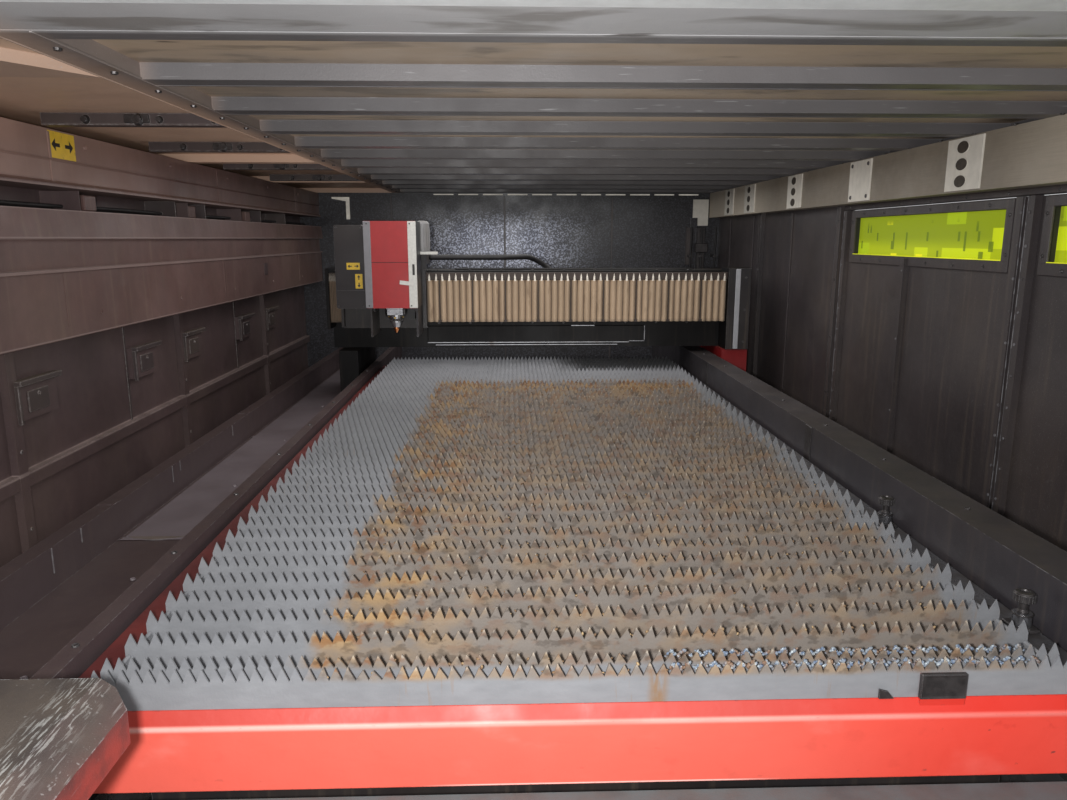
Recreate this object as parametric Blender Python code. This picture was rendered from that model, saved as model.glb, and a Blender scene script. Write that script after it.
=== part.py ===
"""Enclosed fiber laser cutting machine with an exchange pallet.

Metres, +Z up. The origin is on the floor, at the middle of the machine's box. +Y runs into the
cabin from the loading station, +X is to the right. Places across the bed are given as u, counted
from the bed's centre line.
"""
import math

import bmesh
import bpy
from mathutils import Matrix, Vector

# Clearances
GAP = 0.0003                    # between pieces that touch
RUN = 0.003                     # round doors and drawers in their openings
OVERRUN = 0.02                  # how far a cutter runs past the face that it cuts
LAP = 0.002                     # how far shapes of one piece run into each other
ARC_STEPS = 4
ROUND_SIDES = 16

# Whole machine
HALF_LENGTH = 4.18
HALF_WIDTH = 1.44               # at the roof's drip edges
BED_X = 0.10                    # the bed's centre line lies right of the cabin's
SKIN_X = 1.40                   # outer faces of the side walls
CABIN_FRONT_Y = -0.70
CABIN_BACK_Y = 3.60
ROOF_Z = 1.88                   # underside of the roof ribs
FLOOR_GAP = 0.05                # under the cabin's skins

# Bed frame
BEAM_IN, BEAM_OUT = 0.85, 1.09
BEAM_LOW, BEAM_TOP = 0.42, 0.62
BED_FRONT_Y, BED_BACK_Y = -0.68, 3.45
STATIONS = 3
STATION_FIRST_Y, STATION_PITCH = -0.60, 1.60
LEG_IN, LEG_OUT, LEG_HALF_Y = 0.88, 1.06, 0.08
CROSS_HALF_Y, CROSS_TOP = 0.05, 0.50
TIE_HALF_Y, TIE_LOW, TIE_TOP = 0.13, 0.045, 0.07
FOOT_RADIUS = 0.055
SILL_HALF, SILL_TOP = 0.765, 0.745
SILL_FRONT_Y, SILL_DEPTH = -0.755, 0.055

# Gantry guides on the bed
RAIL_WIDTH, RAIL_HEIGHT = 0.023, 0.030
RAIL_LEFT_U, RAIL_RIGHT_U = -0.945, 1.045
TRACK_WIDTH, TRACK_HEIGHT, TRACK_OFFSET = 0.03, 0.02, 0.055

# Pallet rails
HEAD_IN, HEAD_OUT, HEAD_TOP = 0.7905, 0.8215, 0.71
JOG_HEIGHT, JOG_PLATE = 0.02, 0.02
PALLET_RAIL_BACK_Y = 2.75

# Folded covers beside the pallet
SHEET = 0.004
COVER_IN, COVER_FOOT = 0.826, 0.030
COVER_RIGHT_TOP, COVER_RIGHT_WIDTH, COVER_LIP = 1.01, 0.10, 0.05
COVER_LEFT_TOP, COVER_LEFT_WIDTH = 0.93, 0.034
TRAY_IN, TRAY_OUT = 0.985, 1.185
TRAY_Z, TRAY_LEDGE_TOP, TRAY_LEDGE_LIP = 0.79, 0.89, 0.045
TRAY_PLATE_FRONT_Y, TRAY_PLATE_WIDTH = 0.30, 0.17
GUSSET_THICK, GUSSET_PITCH, GUSSET_WIDTH = 0.008, 0.78, 0.10
HOPPER_TOP_HALF, HOPPER_LOW_HALF = 0.745, 0.42
HOPPER_TOP, HOPPER_LOW = 0.70, 0.504
HOPPER_FRONT_Y, HOPPER_BACK_Y = -0.56, 2.56

# Scrap drawers
DRAWER_IN, DRAWER_WALL = 0.84, 0.006
DRAWER_HEIGHT, DRAWER_FRONT_THICK = 0.30, 0.026
DRAWER_PULL_WIDTH, DRAWER_PULL_DROP = 0.30, 0.05

# Front frame and its two-leaf lift door
POST_IN, POST_FRONT_Y = 1.28, -0.88
FRAME_TOP, TIE_HEIGHT = 2.42, 0.05
LINTEL_HEIGHT, LINTEL_FRONT_Y = 0.07, -0.80
LEAF_THICK, LEAF_HEIGHT, LEAF_HALF = 0.018, 0.465, 1.295
LEAF_LOWER_Y, LEAF_UPPER_Y = -0.868, -0.843
LEAF_REST_Z, LEAF_CLOSED_Z = 1.886, 0.99
LEAF_FLANGE = 0.012

# Roof
ROOF_PANEL_Z, ROOF_SHEET = 1.91, 0.004
RIB_WIDTH, RIB_FIRST_Y, RIB_PITCH, RIB_COUNT = 0.06, -0.20, 0.366, 11
ROOF_SEAM_X, ROOF_SEAM_HALF = -0.735, 0.03
ROOF_LEFT_RIBS = 2
ROOF_FRONT_BEAM = 0.14
EDGE_LOW, EDGE_TOP = 1.86, 1.98
ROOF_BACK_Y = 3.64

# Side and back walls
WALL_THICK = 0.028
POST_WIDTH, POST_DEPTH = 0.04, 0.022
POST_FIRST_Y, POST_PITCH, POST_COUNT = 0.35, 1.14, 3
WALL_RAIL_LOW, WALL_RAIL_TOP, WALL_RAIL_DEPTH = 0.916, 0.956, 0.02
LATCH_SHIFT, LATCH_OFFSET, LATCH_WIDTH, LATCH_HEIGHT, LATCH_Z = -0.12, 0.225, 0.20, 0.11, 1.10
HOOD_X = -1.245
HOOD_LOW, HOOD_TOP = 1.318, 1.877
SLOT_LOW, SLOT_TOP = 1.667, 1.727
BAND_LOW, BAND_MID, BAND_STEP = 1.50, 1.59, 0.008
DUCT_X, DUCT_LOW = 1.30, 1.723
BRACKET_FIRST_Y, BRACKET_PITCH, BRACKET_COUNT = 0.48, 0.70, 4
BRACKET_WIDTH, BRACKET_THICK = 0.18, 0.004
LIGHT_SLOTS, LIGHT_SLOT_WIDTH, LIGHT_SLOT_HEIGHT = 9, 0.13, 0.008
LIGHT_SLOT_X, LIGHT_SLOT_Z, LIGHT_SLOT_HALF = 0.52, 1.866, 0.64
BACK_POST_X = 1.18

# Side doors with windows
DOOR_LOW, DOOR_TOP, DOOR_THICK = 0.64, 1.70, 0.026
DOOR_FRONT_START_Y, DOOR_FRONT_END_Y = -0.62, 0.345
DOOR_REAR_START_Y, DOOR_REAR_END_Y = 0.365, 1.53
WINDOW_LOW, WINDOW_TOP, WINDOW_INSET, WINDOW_THICK = 1.525, 1.674, 0.085, 0.006
DOOR_RIB_WIDTH, DOOR_RIB_DEPTH, DOOR_RIB_SHARE = 0.03, 0.02, 0.55
DOOR_PULL_LENGTH, DOOR_PULL_DEPTH = 0.16, 0.025
HINGE_RADIUS, HINGE_LENGTH, HINGE_LEAF, HINGE_INSET = 0.009, 0.05, 0.012, 0.15

# Rear cabinet
CABINET_HALF, CABINET_TOP, CABINET_LOW = 1.30, 1.78, 0.03
CABINET_WALL, CABINET_BACK_Y = 0.02, 4.13
CABINET_DOOR_THICK = 0.02
HANDLE_LENGTH, HANDLE_WIDTH, HANDLE_HUB, HANDLE_Z = 0.16, 0.025, 0.018, 0.95
SOURCE_WIDTH, SOURCE_DEPTH, SOURCE_HEIGHT = 0.70, 0.40, 0.62
RACK_MODULES, RACK_MODULE_WIDTH, RACK_MODULE_HEIGHT, RACK_MODULE_DEPTH = 4, 0.18, 0.34, 0.20

# Loading station
STATION_FRAME_FRONT_Y, STATION_FRAME_BACK_Y = -4.14, -0.90
STATION_BEAM_OUT, STATION_BEAM_LOW, STATION_BEAM_TOP = 0.93, 0.55, 0.69
STATION_LEGS, STATION_LEG_HALF = 3, 0.05
STATION_LEG_INSET = 0.14
STATION_CROSS_LOW, STATION_CROSS_TOP = 0.25, 0.33
BUFFER_RADIUS, BUFFER_Z = 0.03, 0.62
HOOD_NOSE_X, HOOD_FOLD_X, HOOD_OUT_X = -0.49, -0.53, -1.12
HOOD_BACK_Y, HOOD_LENGTH, HOOD_CORNER, HOOD_FOOT = -0.885, 0.95, 0.022, 0.02
DRIVE_TOP, DRIVE_NOSE_TOP, DRIVE_NOSE_LOW = 1.06, 1.03, 0.985
DRIVE_WALL_X = -0.765

# Pallet
PALLET_FRONT_Y, PALLET_BACK_Y = -0.69, 2.66
PALLET_HALF, SIDE_BEAM_WIDTH = 0.817, 0.05
END_BEAM_LOW, END_BEAM_TOP, END_BEAM_DEPTH, END_BEAM_ROUND = 0.752, 0.882, 0.06, 0.010
END_SLOPE_DEPTH, END_SLOPE_DROP = 0.014, 0.023       # the sloping top edge on their outer side
SIDE_BEAM_LOW, SIDE_BEAM_TOP = 0.79, 0.90
RIBS, RIB_DEPTH_Y = 3, 0.04
STOP_START_U, STOP_WIDTH, STOP_HEIGHT, STOP_DEPTH = 0.516, 0.072, 0.042, 0.007
WHEEL_RADIUS, WHEEL_WIDTH, WHEEL_U, HUB_RADIUS = 0.035, 0.022, 0.805, 0.012
AXLE_RADIUS, WHEEL_FRONT_Y, WHEEL_BACK_Y = 0.008, -0.42, 2.36
BRACKET_LEG_IN, BRACKET_LEG_OUT, BRACKET_LEG_HALF = 0.774, 0.789, 0.03

# Slats
TIP_Z, TOOTH_HEIGHT, TOOTH_COUNT = 0.95, 0.024, 76
SLAT_HALF, SLAT_THICK = 0.765, 0.003
SLAT_FIRST_Y, SLAT_FIRST_STEP, SLAT_PITCH, SLAT_COUNT = -0.675, 0.037, 0.081, 42
TOOTHED_SLATS = 4               # slats modelled with every tooth, from the front
COMB_THICK, COMB_TOP = 0.012, 0.915

# Edge strip and clamps on the pallet
STRIP_START_U, STRIP_WIDTH, STRIP_THICK = 0.771, 0.042, 0.006
CLAMP_U, CLAMP_FRONT_Y, CLAMP_BACK_Y = 0.790, -0.50, 0.03
CLAMP_BODY_RADIUS, CLAMP_BODY_TOP = 0.016, 0.936
CLAMP_NECK_RADIUS, CLAMP_NECK_TOP = 0.010, 0.957
CLAMP_CAP_RADIUS, CLAMP_CAP_TOP, CLAMP_CAP_EDGE = 0.019, 0.976, 0.003

# Gantry
GANTRY_Y = 2.33                 # front face of the beam
GANTRY_DEPTH, GANTRY_WALL = 0.29, 0.02
GANTRY_LEFT, GANTRY_RIGHT = -1.02, 1.085
GANTRY_LOW, GANTRY_TOP = 1.04, 1.43
X_RAIL_LOW_Z, X_RAIL_TOP_Z = 1.215, 1.395
X_TRACK_LOW_Z, X_TRACK_TOP_Z = 1.265, 1.335
END_PLATE_THICK, END_PLATE_FRONT_Y, END_PLATE_LOW, END_PLATE_TOP = 0.015, 2.19, 1.15, 1.446
GUARD_START_U = 0.97
SADDLE_LEFT_IN, SADDLE_LEFT_OUT = -0.878, -0.972
SADDLE_RIGHT_IN, SADDLE_RIGHT_OUT = 0.955, 1.085
SADDLE_FRONT_Y, SADDLE_BACK_Y, SADDLE_LOW = 2.20, 2.72, 0.70
BLOCK_LENGTH, BLOCK_HALF, BLOCK_INSET, BLOCK_DROP = 0.10, 0.03, 0.02, 0.012
BELLOWS_LOW, BELLOWS_TOP = 1.181, 1.426
BELLOWS_FRONT_Y, BELLOWS_FOLD, BELLOWS_THICK = 2.20, 0.024, 0.006
BELLOWS_PITCH_LONG, BELLOWS_FOLDS_LEFT = 0.0315, 8
CONDUIT_RADIUS, CONDUIT_Y, CONDUIT_Z = 0.014, 2.40, 1.495
CONDUIT_DIP_U, CONDUIT_LOW_U = -0.26, 0.12          # where it starts and ends its way down
CONDUIT_BACK_Y, CONDUIT_LOW_Z = 2.66, 1.39
CONDUIT_BACK_SHARE, CONDUIT_LEVEL_SHARE = 0.75, 0.35
CLIP_WIDTH, CLIP_DEPTH, CLIP_LOW = 0.03, 0.08, 1.35

# Carriage
CARRIAGE_LEFT, CARRIAGE_RIGHT = -0.95, -0.53
PLATE_FRONT_Y, PLATE_THICK, PLATE_LOW, PLATE_TOP = 2.236, 0.018, 1.15, 1.54
CHEEK_THICK, CHEEK_LOW, CHEEK_TOP = 0.012, 1.16, 1.44
CARRIAGE_BLOCK_LENGTH, CARRIAGE_BLOCK_HALF, CARRIAGE_BLOCK_INSET = 0.09, 0.025, 0.03
HEAD_U, HEAD_Y = -0.66, 2.045
UNIT_HALF, UNIT_FRONT_Y, UNIT_LOW, UNIT_TOP = 0.075, 2.17, 1.20, 1.62
SKIRT_THICK, SKIRT_FRONT_Y, SKIRT_LOW = 0.008, 2.02, 1.13
ARM_WIDTH, ARM_LOW, ARM_TOP, ARM_BACK_Y = 0.05, 1.465, 1.525, 2.43
MOTOR_U, MOTOR_Y, MOTOR_RADIUS, MOTOR_TOP = -0.541, 2.187, 0.036, 1.672
BELT_CASE_LOW, BELT_CASE_TOP, BELT_CASE_RIGHT = 1.517, 1.529, -0.477
BOX_LEFT, BOX_RIGHT, BOX_FRONT_Y, BOX_LOW, BOX_TOP = -0.937, -0.80, 2.04, 1.263, 1.652
COVER_LEFT, COVER_RIGHT, COVER_FRONT_Y, COVER_BACK_Y = -0.785, -0.545, 1.95, 2.135
COVER_LOW, COVER_TOP, COVER_ROUND = 1.272, 1.668, 0.012

# Cutting head
SLIDE_HALF, SLIDE_THICK, SLIDE_LOW, SLIDE_TOP = 0.045, 0.05, 1.30, 1.58
BODY_HALF, BODY_LOW, BODY_TOP = 0.036, 1.235, 1.57
BARREL_RADIUS, BARREL_LOW = 0.030, 1.20
CONE_RADIUS, CONE_LOW = 0.016, 1.175
NOZZLE_RADIUS, NOZZLE_TIP_RADIUS, NOZZLE_LOW, NOZZLE_RIM = 0.013, 0.004, 1.148, 0.008

# Console
ARM_X, ARM_Z, ARM_RADIUS = 1.34, 1.62, 0.022
ARM_REACH, PIVOT_LENGTH, PIVOT_RADIUS = 0.36, 0.10, 0.028
PIVOT_Y = POST_FRONT_Y - PIVOT_RADIUS - GAP
CONSOLE_HALF_X, CONSOLE_DEPTH, CONSOLE_LOW, CONSOLE_TOP = 0.24, 0.10, 1.12, 1.55
CONSOLE_X = 1.18
KEY_SHELF_DEPTH, KEY_SHELF_THICK = 0.16, 0.03
STOP_BUTTON_RADIUS, STOP_BUTTON_HEIGHT, STOP_STEM_RADIUS, STOP_STEM_HEIGHT = 0.018, 0.014, 0.010, 0.012
STOP_BUTTON_SIDE = 0.17

# Finishes: colour, roughness, metallic
FINISHES = {
    "frame_black": ((0.035, 0.033, 0.036), 0.55, 0.3),
    "rail_steel": ((0.55, 0.55, 0.56), 0.30, 1.0),
    "cover_black": ((0.045, 0.043, 0.050), 0.50, 0.2),
    "roof_grey": ((0.30, 0.28, 0.27), 0.60, 0.5),
    "wall_black": ((0.050, 0.045, 0.047), 0.50, 0.2),
    "skin_white": ((0.72, 0.73, 0.74), 0.45, 0.0),
    "pallet_red": ((0.75, 0.09, 0.07), 0.40, 0.0),
    "slat_grey": ((0.36, 0.37, 0.39), 0.50, 0.8),
    "clamp_steel": ((0.12, 0.12, 0.13), 0.35, 0.9),
    "duct_grey": ((0.22, 0.20, 0.17), 0.60, 0.2),
    "bellows_tan": ((0.32, 0.25, 0.19), 0.75, 0.0),
    "head_red": ((0.40, 0.045, 0.045), 0.40, 0.0),
    "guard_grey": ((0.45, 0.45, 0.47), 0.40, 0.3),
    "window_green": ((0.42, 0.55, 0.03), 0.10, 0.0),
    "copper": ((0.70, 0.38, 0.20), 0.30, 1.0),
    "rubber_black": ((0.02, 0.02, 0.02), 0.80, 0.0),
    "wheel_grey": ((0.30, 0.30, 0.31), 0.45, 0.8),
    "console_grey": ((0.20, 0.21, 0.22), 0.45, 0.1),
    "stop_red": ((0.70, 0.03, 0.03), 0.35, 0.0),
}


def clear_scene():
    """Removes what the scene holds."""
    for item in list(bpy.data.objects):
        bpy.data.objects.remove(item, do_unlink=True)


def material(name, finish):
    """A sub-part's own Principled material, in one of the finishes."""
    colour, roughness, metallic = FINISHES[finish]
    made = bpy.data.materials.new(name)
    made.use_nodes = True
    shader = made.node_tree.nodes["Principled BSDF"]
    shader.inputs["Base Color"].default_value = (*colour, 1)
    shader.inputs["Roughness"].default_value = roughness
    shader.inputs["Metallic"].default_value = metallic
    return made


def block(low, high):
    """A box between two corners."""
    shape = bmesh.new()
    bmesh.ops.create_cube(shape, size=1)
    low, high = Vector(low), Vector(high)
    size = high - low
    bmesh.ops.scale(shape, vec=size, verts=shape.verts)
    bmesh.ops.translate(shape, vec=(low + high) / 2, verts=shape.verts)
    return shape


def extruded(outline, along, start, end):
    """A closed outline, in the two other axes in order, extruded along X, Y or Z."""
    places = {"X": lambda a, b: (start, a, b), "Y": lambda a, b: (a, start, b), "Z": lambda a, b: (a, b, start)}
    shape = bmesh.new()
    corners = [shape.verts.new(places[along](a, b)) for a, b in outline]
    face = shape.faces.new(corners)
    run = Vector([float(axis == along) for axis in "XYZ"]) * (end - start)
    grown = bmesh.ops.extrude_face_region(shape, geom=[face])
    moved = [item for item in grown["geom"] if isinstance(item, bmesh.types.BMVert)]
    bmesh.ops.translate(shape, vec=run, verts=moved)
    bmesh.ops.recalc_face_normals(shape, faces=shape.faces)
    return shape


def rod(start, end, radius, end_radius=None, sides=ROUND_SIDES):
    """A cylinder or a cone between two points."""
    start, end = Vector(start), Vector(end)
    shape = bmesh.new()
    bmesh.ops.create_cone(shape, cap_ends=True, segments=sides, radius1=radius,
                          radius2=radius if end_radius is None else end_radius, depth=(end - start).length)
    turn = (end - start).to_track_quat("Z", "Y").to_matrix().to_4x4()
    bmesh.ops.transform(shape, matrix=Matrix.Translation((start + end) / 2) @ turn, verts=shape.verts)
    return shape


def turned(profile, centre, axis="Z", sides=ROUND_SIDES):
    """A closed turned shape: (radius, height) pairs from one pole to the other."""
    shape = bmesh.new()
    ends = [shape.verts.new((0, 0, profile[0][1]))]
    ends += [shape.verts.new((radius, 0, height)) for radius, height in profile]
    ends += [shape.verts.new((0, 0, profile[-1][1]))]
    edges = [shape.edges.new(pair) for pair in zip(ends, ends[1:])]
    bmesh.ops.spin(shape, geom=ends + edges, cent=(0, 0, 0), axis=(0, 0, 1), angle=math.tau, steps=sides,
                   use_merge=True)
    bmesh.ops.remove_doubles(shape, verts=shape.verts, dist=GAP / 10)
    bmesh.ops.recalc_face_normals(shape, faces=shape.faces)
    turns = {"X": Matrix.Rotation(math.pi / 2, 4, "Y"), "Y": Matrix.Rotation(-math.pi / 2, 4, "X"),
             "Z": Matrix.Identity(4)}
    bmesh.ops.transform(shape, matrix=Matrix.Translation(centre) @ turns[axis], verts=shape.verts)
    return shape


def rounded(low, high, radius, steps=ARC_STEPS):
    """The outline of a rectangle with round corners."""
    points = []
    corners = ((high[0] - radius, high[1] - radius, 0), (low[0] + radius, high[1] - radius, 1),
               (low[0] + radius, low[1] + radius, 2), (high[0] - radius, low[1] + radius, 3))
    for a, b, quarter in corners:
        for step in range(steps + 1):
            angle = (quarter + step / steps) * math.pi / 2
            points.append((a + radius * math.cos(angle), b + radius * math.sin(angle)))
    return points


def folded(path, thickness):
    """The outline of a bent sheet: the path and its copy, offset to the left by the thickness."""
    offset = []
    for place, point in enumerate(path):
        before = Vector(path[max(place - 1, 0)])
        here = Vector(point)
        after = Vector(path[min(place + 1, len(path) - 1)])
        sides = []
        for run in (here - before, after - here):
            if run.length:
                sides.append(Vector((-run.y, run.x)).normalized())
        mitre = sum(sides, Vector((0, 0))).normalized()
        offset.append(tuple(here + mitre * thickness / mitre.dot(sides[0])))
    return list(path) + offset[::-1]


def joined(shapes):
    """One bmesh that holds several shapes."""
    whole = bmesh.new()
    for shape in shapes:
        held = bpy.data.meshes.new("held")
        shape.to_mesh(held)
        shape.free()
        whole.from_mesh(held)
        bpy.data.meshes.remove(held)
    return whole


def solid(name, shape):
    """An object in the scene made from one bmesh."""
    mesh = bpy.data.meshes.new(name)
    shape.to_mesh(mesh)
    shape.free()
    made = bpy.data.objects.new(name, mesh)
    bpy.context.scene.collection.objects.link(made)
    return made


def combine(target, shapes, operation):
    """Joins the shapes to the target, or cuts them from it."""
    tool = solid("tool", joined(shapes))
    step = target.modifiers.new("step", "BOOLEAN")
    step.operation = operation
    step.object = tool
    step.use_self = True
    graph = bpy.context.evaluated_depsgraph_get()
    mesh = bpy.data.meshes.new_from_object(target.evaluated_get(graph))
    target.modifiers.remove(step)
    target.data = mesh
    bpy.data.objects.remove(tool, do_unlink=True)


def part(name, finish, shapes, cuts=()):
    """One sub-part: its shapes fused to one body, the cuts taken out, in its own material."""
    made = solid(name, shapes[0])
    if len(shapes) > 1:
        combine(made, shapes[1:], "UNION")
    if cuts:
        combine(made, cuts, "DIFFERENCE")
    tidy = bmesh.new()
    tidy.from_mesh(made.data)
    bmesh.ops.remove_doubles(tidy, verts=tidy.verts, dist=GAP / 10)
    bmesh.ops.dissolve_limit(tidy, angle_limit=math.radians(0.05), verts=tidy.verts, edges=tidy.edges)
    bmesh.ops.triangulate(tidy, faces=tidy.faces)
    tidy.to_mesh(made.data)
    tidy.free()
    made.data.materials.clear()
    made.data.materials.append(material(name, finish))
    made.data.shade_smooth()
    made.data.set_sharp_from_angle(angle=math.radians(30))
    return made


def set_axis(made, point):
    """Moves a sub-part's origin to its joint's axis, leaving its shape where it is."""
    made.data.transform(Matrix.Translation(-Vector(point)))
    made.location = point


def at(u):
    """The X of a place counted from the bed's centre line."""
    return BED_X + u


def station_places():
    return [STATION_FIRST_Y + STATION_PITCH * number for number in range(STATIONS)]


def bed_frame():
    """The welded bed: side beams on legs, cross members, ties out to the walls, sill and motor tracks."""
    shapes = []
    for side in (-1, 1):
        beam = sorted((at(side * BEAM_IN), at(side * BEAM_OUT)))
        shapes.append(block((beam[0], BED_FRONT_Y, BEAM_LOW), (beam[1], BED_BACK_Y, BEAM_TOP)))
        leg = sorted((at(side * LEG_IN), at(side * LEG_OUT)))
        for y in station_places():
            shapes.append(block((leg[0], y - LEG_HALF_Y, TIE_LOW), (leg[1], y + LEG_HALF_Y, BEAM_LOW + LAP)))
            foot = (leg[0] + leg[1]) / 2
            shapes.append(rod((foot, y, 0), (foot, y, TIE_LOW + LAP), FOOT_RADIUS))
        rail = RAIL_RIGHT_U if side > 0 else RAIL_LEFT_U
        track = at(rail - side * TRACK_OFFSET) if side > 0 else at(rail + TRACK_OFFSET)
        shapes.append(block((track - TRACK_WIDTH / 2, BED_FRONT_Y, BEAM_TOP - LAP),
                            (track + TRACK_WIDTH / 2, BED_BACK_Y, BEAM_TOP + TRACK_HEIGHT)))
    for y in station_places():
        shapes.append(block((at(-BEAM_IN - LAP), y - CROSS_HALF_Y, BEAM_LOW),
                            (at(BEAM_IN + LAP), y + CROSS_HALF_Y, CROSS_TOP)))
        shapes.append(block((at(-LEG_OUT), y - TIE_HALF_Y, TIE_LOW), (at(LEG_OUT), y + TIE_HALF_Y, TIE_TOP)))
    for y in station_places()[:2]:
        shapes.append(block((-SKIN_X + WALL_THICK + GAP, y - CROSS_HALF_Y, TIE_LOW),
                            (SKIN_X - WALL_THICK - GAP, y + CROSS_HALF_Y, TIE_TOP)))
    shapes.append(block((at(-SILL_HALF), SILL_FRONT_Y, CROSS_TOP - LAP),
                        (at(SILL_HALF), SILL_FRONT_Y + SILL_DEPTH, SILL_TOP)))
    shapes.append(block((at(-SILL_HALF), SILL_FRONT_Y, BEAM_LOW),
                        (at(SILL_HALF), STATION_FIRST_Y, CROSS_TOP)))
    return part("bed_frame", "frame_black", shapes)


def gantry_rails():
    """The two guide rails that the gantry's bearing blocks run on."""
    for name, rail in (("gantry_rail_left", RAIL_LEFT_U), ("gantry_rail_right", RAIL_RIGHT_U)):
        low = (at(rail) - RAIL_WIDTH / 2, BED_FRONT_Y, BEAM_TOP + GAP)
        high = (at(rail) + RAIL_WIDTH / 2, BED_BACK_Y, BEAM_TOP + GAP + RAIL_HEIGHT)
        part(name, "rail_steel", [block(low, high)])


def rail_outline(side, wall):
    """The pallet rail's jogged outline, from the beam's face at u = wall up to the rail head."""
    top, step = BEAM_TOP - JOG_HEIGHT, BEAM_TOP - 2 * JOG_HEIGHT
    low = CROSS_TOP + GAP
    points = ((wall, low), (wall, top), (HEAD_OUT, top), (HEAD_OUT, HEAD_TOP),
              (HEAD_IN, HEAD_TOP), (HEAD_IN, step), (wall - JOG_PLATE, step), (wall - JOG_PLATE, low))
    return [(at(side * u), z) for u, z in points]


def pallet_rails():
    """The rails inside the cabin that the pallet's wheels roll on."""
    for name, side in (("pallet_rail_left", -1), ("pallet_rail_right", 1)):
        outline = rail_outline(side, BEAM_IN - GAP)
        part(name, "rail_steel", [extruded(outline, "Y", BED_FRONT_Y, PALLET_RAIL_BACK_Y)])


def rail_covers():
    """Folded covers between the pallet and the gantry rails. The right one is the taller."""
    foot = BEAM_TOP + GAP
    right = [(COVER_IN + COVER_FOOT, foot), (COVER_IN, foot), (COVER_IN, COVER_RIGHT_TOP),
             (COVER_IN + COVER_RIGHT_WIDTH, COVER_RIGHT_TOP),
             (COVER_IN + COVER_RIGHT_WIDTH, COVER_RIGHT_TOP - COVER_LIP)]
    left = [(COVER_IN + COVER_FOOT, foot), (COVER_IN, foot), (COVER_IN, COVER_LEFT_TOP),
            (COVER_IN + COVER_LEFT_WIDTH, COVER_LEFT_TOP),
            (COVER_IN + COVER_LEFT_WIDTH, COVER_LEFT_TOP - COVER_LIP / 2)]
    for name, side, path in (("rail_cover_left", -1, left), ("rail_cover_right", 1, right)):
        outline = [(at(side * u), z) for u, z in folded(path, -SHEET)]
        part(name, "cover_black", [extruded(outline, "Y", BED_FRONT_Y, BED_BACK_Y)])


def left_tray():
    """The folded tray left of the pallet, on gussets, with a loose grey plate on its rear part."""
    path = [(-TRAY_IN, TRAY_Z), (-TRAY_OUT, TRAY_Z), (-TRAY_OUT, TRAY_LEDGE_TOP),
            (-TRAY_OUT - TRAY_LEDGE_LIP, TRAY_LEDGE_TOP)]
    outline = [(at(u), z) for u, z in folded(path, SHEET)]
    shapes = [extruded(outline, "Y", BED_FRONT_Y, BED_BACK_Y)]
    plate_u = -TRAY_IN - (TRAY_OUT - TRAY_IN - TRAY_PLATE_WIDTH) / 2
    shapes.append(block((at(plate_u - TRAY_PLATE_WIDTH), TRAY_PLATE_FRONT_Y, TRAY_Z - LAP),
                        (at(plate_u), BED_BACK_Y - SHEET, TRAY_Z + SHEET)))
    count = int((BED_BACK_Y - BED_FRONT_Y) / GUSSET_PITCH)
    for number in range(count + 1):
        y = BED_FRONT_Y + GUSSET_THICK + number * GUSSET_PITCH
        shapes.append(block((at(-BEAM_OUT), y, BEAM_TOP + GAP),
                            (at(-BEAM_OUT + GUSSET_WIDTH), y + GUSSET_THICK, TRAY_Z - SHEET + LAP)))
    return part("left_tray", "cover_black", shapes)


def slag_hopper():
    """Two sloping sheets and two end sheets that lead slag down between the cross members."""
    shapes = []
    for side in (-1, 1):
        path = [(HOPPER_LOW_HALF, HOPPER_LOW), (HOPPER_TOP_HALF, HOPPER_TOP - SHEET),
                (HOPPER_TOP_HALF, HOPPER_TOP)]
        outline = [(at(side * u), z) for u, z in folded(path, -SHEET)]
        shapes.append(extruded(outline, "Y", HOPPER_FRONT_Y, HOPPER_BACK_Y))
    for y in (HOPPER_FRONT_Y, HOPPER_BACK_Y - SHEET):
        shapes.append(block((at(-HOPPER_TOP_HALF), y, CROSS_TOP + GAP), (at(HOPPER_TOP_HALF), y + SHEET,
                                                                      HOPPER_TOP)))
    return part("slag_hopper", "frame_black", shapes)


def drawer_span(number):
    """Where a drawer starts and ends between two legs of the bed."""
    first = station_places()[number]
    return first + LEG_HALF_Y + RUN, first + STATION_PITCH - LEG_HALF_Y - RUN


def scrap_drawers():
    """Two open scrap drawers that pull out through the right wall."""
    low = TIE_TOP + GAP
    for number, name in enumerate(("scrap_drawer_front", "scrap_drawer_rear")):
        start, end = drawer_span(number)
        front = SKIN_X - GAP
        tub_end = front - DRAWER_FRONT_THICK + LAP
        outer = block((at(-DRAWER_IN), start, low), (tub_end, end, low + DRAWER_HEIGHT))
        face = block((front - DRAWER_FRONT_THICK, start, low), (front, end, low + DRAWER_HEIGHT))
        hollow = block((at(-DRAWER_IN) + DRAWER_WALL, start + DRAWER_WALL, low + DRAWER_WALL),
                       (tub_end - LAP, end - DRAWER_WALL, low + DRAWER_HEIGHT + OVERRUN))
        middle = (start + end) / 2
        grip = block((front - DRAWER_FRONT_THICK / 2, middle - DRAWER_PULL_WIDTH / 2,
                      low + DRAWER_HEIGHT - DRAWER_PULL_DROP),
                     (front + OVERRUN, middle + DRAWER_PULL_WIDTH / 2, low + DRAWER_HEIGHT + OVERRUN))
        part(name, "frame_black", [outer, face], [hollow, grip])


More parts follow.
